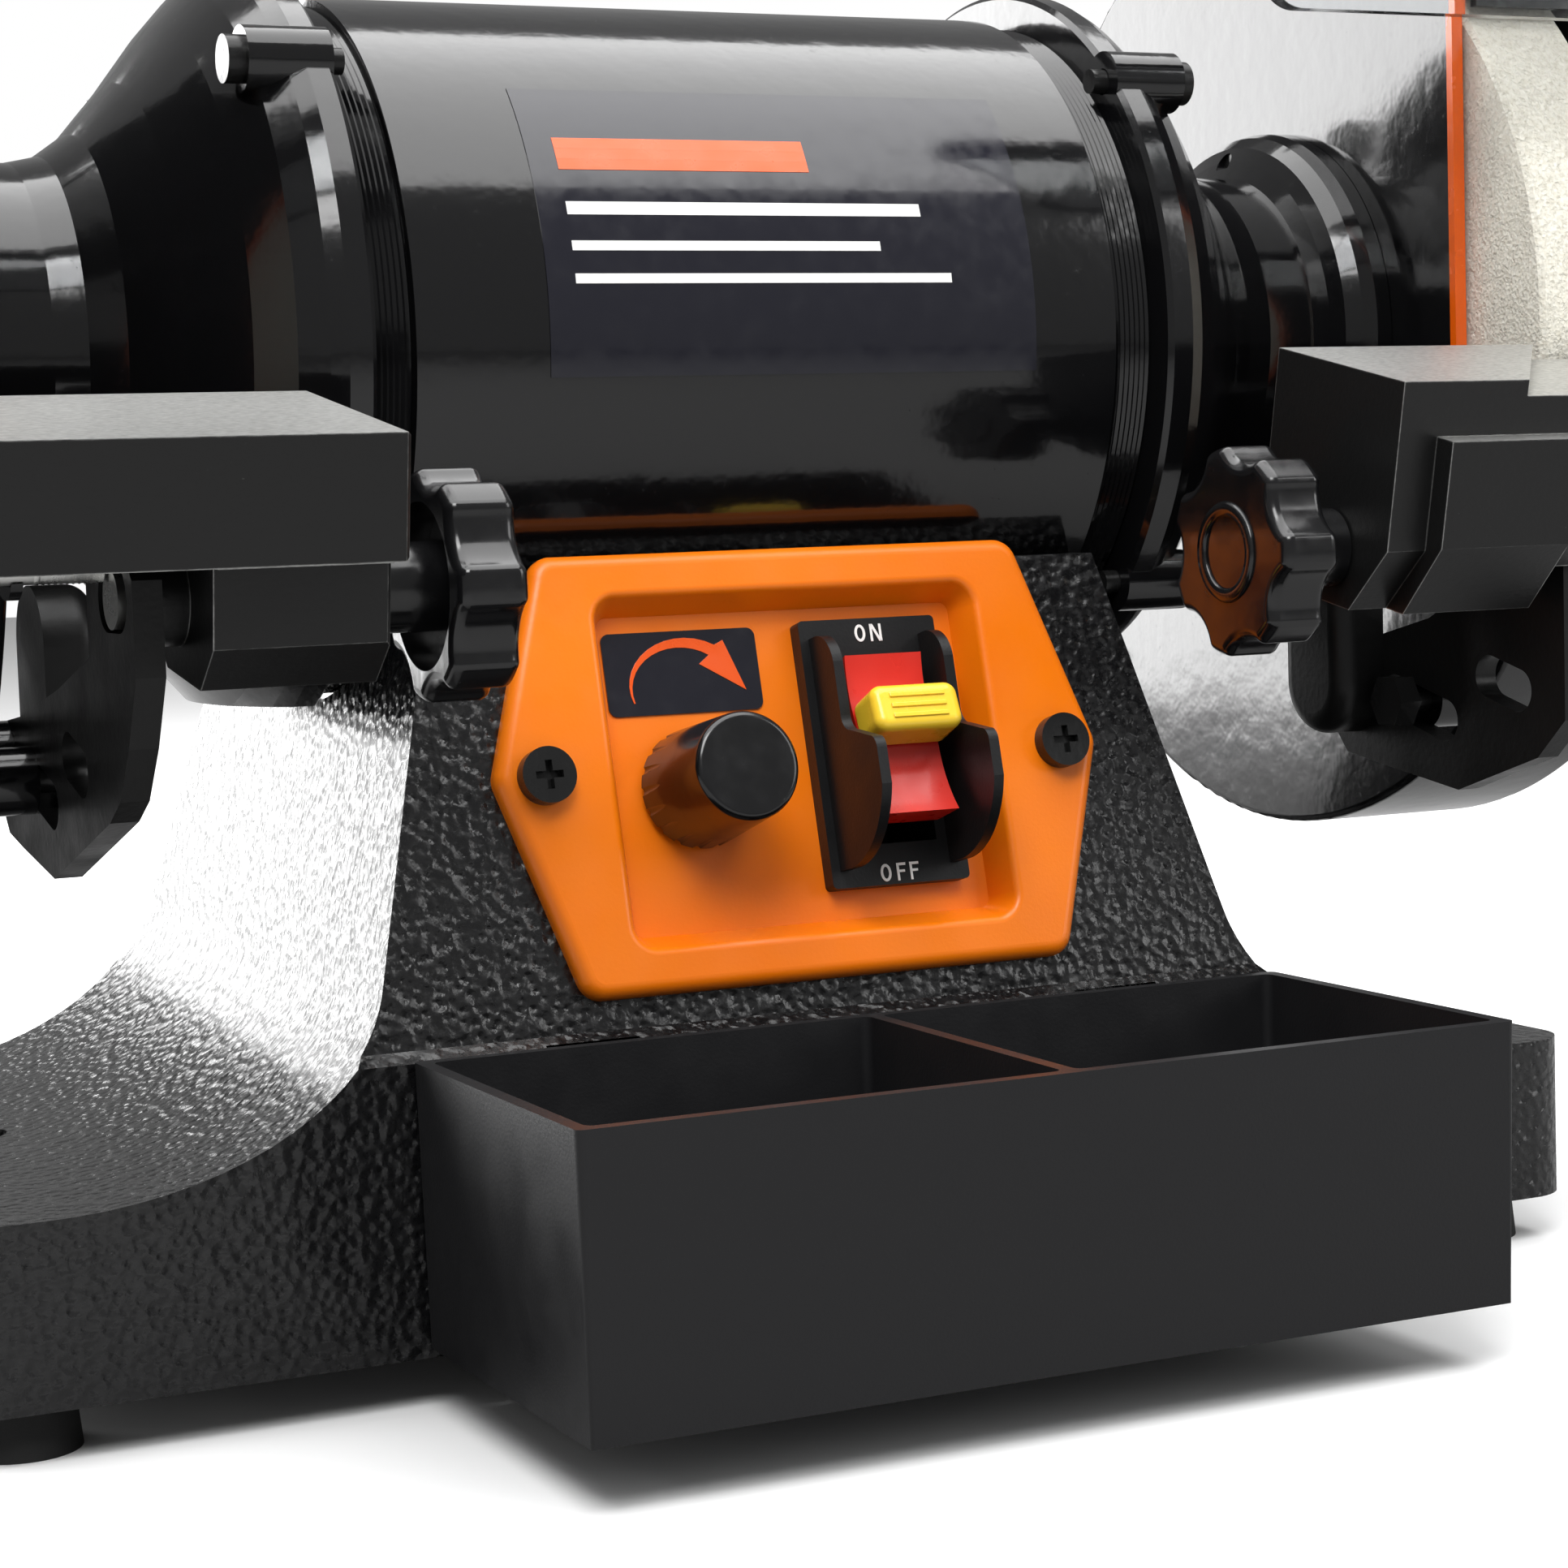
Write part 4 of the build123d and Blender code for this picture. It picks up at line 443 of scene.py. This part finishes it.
finishes = {
    "black_casting": hammered_casting(),
    "gloss_black": gloss_black(),
    "black_sheet": satin_black("sheet_black", 0.007, 0.36),
    "black_rest": rest_finish(),
    "orange_plastic": orange_plastic(),
    "orange_trim": gloss_orange(),
    "black_plastic": matte_plastic("switch_black", (0.007, 0.007, 0.0075), 0.4),
    "knob_plastic": gloss_plastic("knob_black", (0.005, 0.005, 0.0055)),
    "tray_plastic": matte_plastic("tray_black", (0.010, 0.010, 0.011), 0.42),
    "red_plastic": gloss_plastic("rocker_red", (0.62, 0.022, 0.012), 0.3),
    "yellow_plastic": gloss_plastic("key_yellow", (0.90, 0.60, 0.035), 0.25),
    "zinc_steel": plated_steel(),
    "black_steel": satin_black("black_screws", 0.012, 0.25),
    "ground_steel": plated_steel("ground_steel", (0.55, 0.55, 0.55), 0.2),
    "core_steel": laminated_steel(),
    "copper_winding": copper_wire(),
    "abrasive_white": white_abrasive(),
    "blotter_paper": paper(),
    "label_film": gloss_plastic("label_film", (0.010, 0.010, 0.016), 0.14),
    "rubber_black": rubber(),
    "clear_shield": clear_plastic(),
    "board_green": circuit_board(),
    "capacitor_case": gloss_plastic("capacitor_case", (0.02, 0.02, 0.03)),
}
PRINT_WHITE = gloss_plastic("print_white", (0.82, 0.82, 0.80), 0.3)
PRINT_ORANGE = gloss_plastic("print_orange", (0.80, 0.09, 0.004), 0.3)

# ---------------------------------------------------------------- finishes on the CAD nodes
for entry in frame["record"]["subparts"]:
    cad = nodes[entry["node"]]
    cad.data.materials.clear()
    cad.data.materials.append(finishes[entry["material_slot"]])

# ---------------------------------------------------------------- building the detailed pieces


def keep(name, mesh_data, material, body):
    """Turns a bmesh into a named piece that rides on a body."""
    mesh = bpy.data.meshes.new(name)
    bmesh.ops.recalc_face_normals(mesh_data, faces=mesh_data.faces[:])
    mesh_data.to_mesh(mesh)
    mesh_data.free()
    mesh.materials.append(material)
    piece = bpy.data.objects.new(name, mesh)
    scene.collection.objects.link(piece)
    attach(piece, body)
    return piece


def raised(name, outlines, place, thick, material, body):
    """Raised shapes with softened edges; place maps (x, y, height) to a point in metres."""
    made = bmesh.new()
    for outline in outlines:
        low = [made.verts.new(place(x, y, 0.0)) for x, y in outline]
        high = [made.verts.new(place(x, y, thick)) for x, y in outline]
        made.faces.new(low)
        made.faces.new(high)
        for i in range(len(outline)):
            j = (i + 1) % len(outline)
            made.faces.new((low[i], low[j], high[j], high[i]))
    bmesh.ops.recalc_face_normals(made, faces=made.faces[:])
    piece = keep(name, made, material, body)
    soften = piece.modifiers.new("soften", "BEVEL")
    soften.width = thick * 0.3 * MM
    soften.segments = 2
    soften.limit_method = "ANGLE"
    return piece


def lathed(name, profile, centre, axis, material, body, steps=48):
    """Piece turned about an axis from (radius, height) points, all in millimetres but the centre."""
    made = bmesh.new()
    axis = Vector(axis).normalized()
    across = axis.orthogonal().normalized()
    other = axis.cross(across)
    rings = []
    for radius, height in profile:
        ring = []
        for i in range(steps):
            turn = 2 * pi * i / steps
            spoke = across * cos(turn) + other * sin(turn)
            ring.append(made.verts.new(Vector(centre) + (spoke * radius + axis * height) * MM))
        rings.append(ring)
    closed = rings + rings[:1]
    for first, second in zip(closed, closed[1:]):
        for i in range(steps):
            j = (i + 1) % steps
            made.faces.new((first[i], first[j], second[j], second[i]))
    piece = keep(name, made, material, body)
    for face in piece.data.polygons:
        face.use_smooth = True
    return piece


def box_outline(x, y, wide, high):
    """Corners of an upright rectangle about its middle."""
    left, right = x - wide / 2, x + wide / 2
    low, top = y - high / 2, y + high / 2
    return [(left, low), (right, low), (right, top), (left, top)]


# ---------------------------------------------------------------- direction arrow on the panel


def arrow_outline():
    """Curved arrow that swells from its tail to its head."""
    steps = 14
    upper, lower = [], []
    for i in range(steps + 1):
        part = i / steps
        turn = radians(196.0 - 142.0 * part)
        half = 0.12 + 0.85 * part
        upper.append(((9.0 + half) * cos(turn), (7.2 + half) * sin(turn) - 2.6))
        lower.append(((9.0 - half) * cos(turn), (7.2 - half) * sin(turn) - 2.6))
    head = [(7.4, 4.7), (10.4, -3.4), (2.9, 1.1)]
    return upper + head + lower[::-1]


raised(
    "direction_arrow",
    [arrow_outline()],
    lambda x, y, z: on_panel(LABEL_AT[0] + x, LABEL_AT[1] + y, RECESS_FLOOR + 0.3 + z),
    0.12,
    PRINT_ORANGE,
    "frame",
)

# ---------------------------------------------------------------- letters on the switch plate


def letter_o(x, y):
    """Two half rings, which together make an O."""
    halves = []
    for side in (-1, 1):
        outer = [(x + side * 0.95 * sin(a), y + 1.4 * cos(a)) for a in [pi * i / 10 for i in range(11)]]
        inner = [(x + side * 0.5 * sin(a), y + 0.95 * cos(a)) for a in [pi * i / 10 for i in range(11)]]
        halves.append(outer + inner[::-1])
    return halves


def letter_n(x, y):
    """Two uprights and the slash between them."""
    left = box_outline(x - 0.8, y, 0.42, 2.8)
    right = box_outline(x + 0.8, y, 0.42, 2.8)
    slash = [(x - 0.95, y + 1.4), (x - 0.45, y + 1.4), (x + 0.95, y - 1.4), (x + 0.45, y - 1.4)]
    return [left, right, slash]


def letter_f(x, y):
    """An upright and its two arms."""
    return [
        box_outline(x - 0.65, y, 0.42, 2.8),
        box_outline(x + 0.15, y + 1.19, 1.2, 0.42),
        box_outline(x + 0.05, y + 0.1, 1.0, 0.4),
    ]


def plate_face(x, y, z):
    """A place on the switch plate, measured from the switch's centre."""
    return on_panel(SWITCH_AT[0] + x, SWITCH_AT[1] + y, RECESS_FLOOR + 3.0 + z)


on_word = letter_o(-1.4, 18.9) + letter_n(1.4, 18.9)
off_word = letter_o(-2.7, -19.4) + letter_f(0.1, -19.4) + letter_f(2.4, -19.4)
raised("letters_on", on_word, plate_face, 0.12, PRINT_WHITE, "frame")
raised("letters_off", off_word, plate_face, 0.12, PRINT_WHITE, "frame")

# ---------------------------------------------------------------- ribs on the safety key
KEY_TOP = 14.4
ribs = [box_outline(0.6, 2.0 + 1.7 * i, 9.5, 0.7) for i in (-1, 0, 1)]
raised(
    "key_ribs",
    ribs,
    lambda x, y, z: on_rocker(x, y, KEY_TOP - 0.05 + z),
    0.35,
    finishes["yellow_plastic"],
    "key",
)

# ---------------------------------------------------------------- bars on the motor label


def motor_face(x, z, height):
    """A place on the motor shell at a height over the shaft, in metres."""
    radius = 56.57 + height
    return Vector((x, -sqrt(radius * radius - z * z), SHAFT_Z + z)) * MM


def label_bar(left, right, low, high):
    """Strips narrow enough to follow the curve of the shell."""
    strips = []
    count = max(1, round((high - low) / 1.5))
    for i in range(count):
        bottom = low + (high - low) * i / count
        top = low + (high - low) * (i + 1) / count
        strips.append([(left, bottom), (right, bottom), (right, top), (left, top)])
    return strips


orange_bars = label_bar(-34.0, 8.0, 25.0, 30.0)
white_bars = label_bar(-34.0, 26.0, 18.0, 20.0)
white_bars += label_bar(-34.0, 18.0, 12.5, 14.0)
white_bars += label_bar(-34.0, 30.0, 7.5, 9.0)
raised("label_bar_orange", orange_bars, motor_face, 0.05, PRINT_ORANGE, "frame")
raised("label_bars_white", white_bars, motor_face, 0.05, PRINT_WHITE, "frame")

# ---------------------------------------------------------------- threads on the ends of the cover screws
LUG_RADIUS = 95.0
SCREW_TIP = 116.6
LUG_ANGLES = (199.5, 80.0, 320.0)


def thread_profile(length):
    """Ridges of a coarse thread over a core, as (radius, height) points."""
    points = []
    pitch = 0.8
    for i in range(int(length / pitch)):
        points.append((1.9, i * pitch))
        points.append((2.12, (i + 0.5) * pitch))
    points.append((1.9, length))
    points.append((1.6, length))
    points.append((1.6, 0.0))
    return points


for side_name, side in (("left", -1), ("right", 1)):
    for number, angle in enumerate(LUG_ANGLES):
        turn = radians(angle)
        start = Vector((side * SCREW_TIP, LUG_RADIUS * cos(turn), SHAFT_Z + LUG_RADIUS * sin(turn))) * MM
        lathed(
            f"{side_name}_screw_thread_{number}",
            thread_profile(9.6),
            start,
            (side, 0, 0),
            finishes["zinc_steel"],
            "frame",
            24,
        )

# ---------------------------------------------------------------- raised rings on the star knobs
STAR_FACE = {"left": 63.0, "right": 57.0}
REST_BOLT_AT = (-92.0, 121.0)
for side_name, side in (("left", -1), ("right", 1)):
    lathed(
        f"{side_name}_knob_ring",
        [(5.4, -0.2), (5.8, 0.5), (7.4, 0.6), (8.0, -0.2)],
        Vector((side * STAR_FACE[side_name], *REST_BOLT_AT)) * MM,
        (-side, 0, 0),
        finishes["knob_plastic"],
        f"{side_name}_knob",
    )

# ---------------------------------------------------------------- softened edges on the plain sheet pieces
SHEET_PIECES = ("left_rest_bracket", "right_rest_bracket", "left_shield_arm", "right_shield_arm")
for node in SHEET_PIECES:
    edge = nodes[node].modifiers.new("edge", "BEVEL")
    edge.width = 0.25 * MM
    edge.segments = 2
    edge.limit_method = "ANGLE"
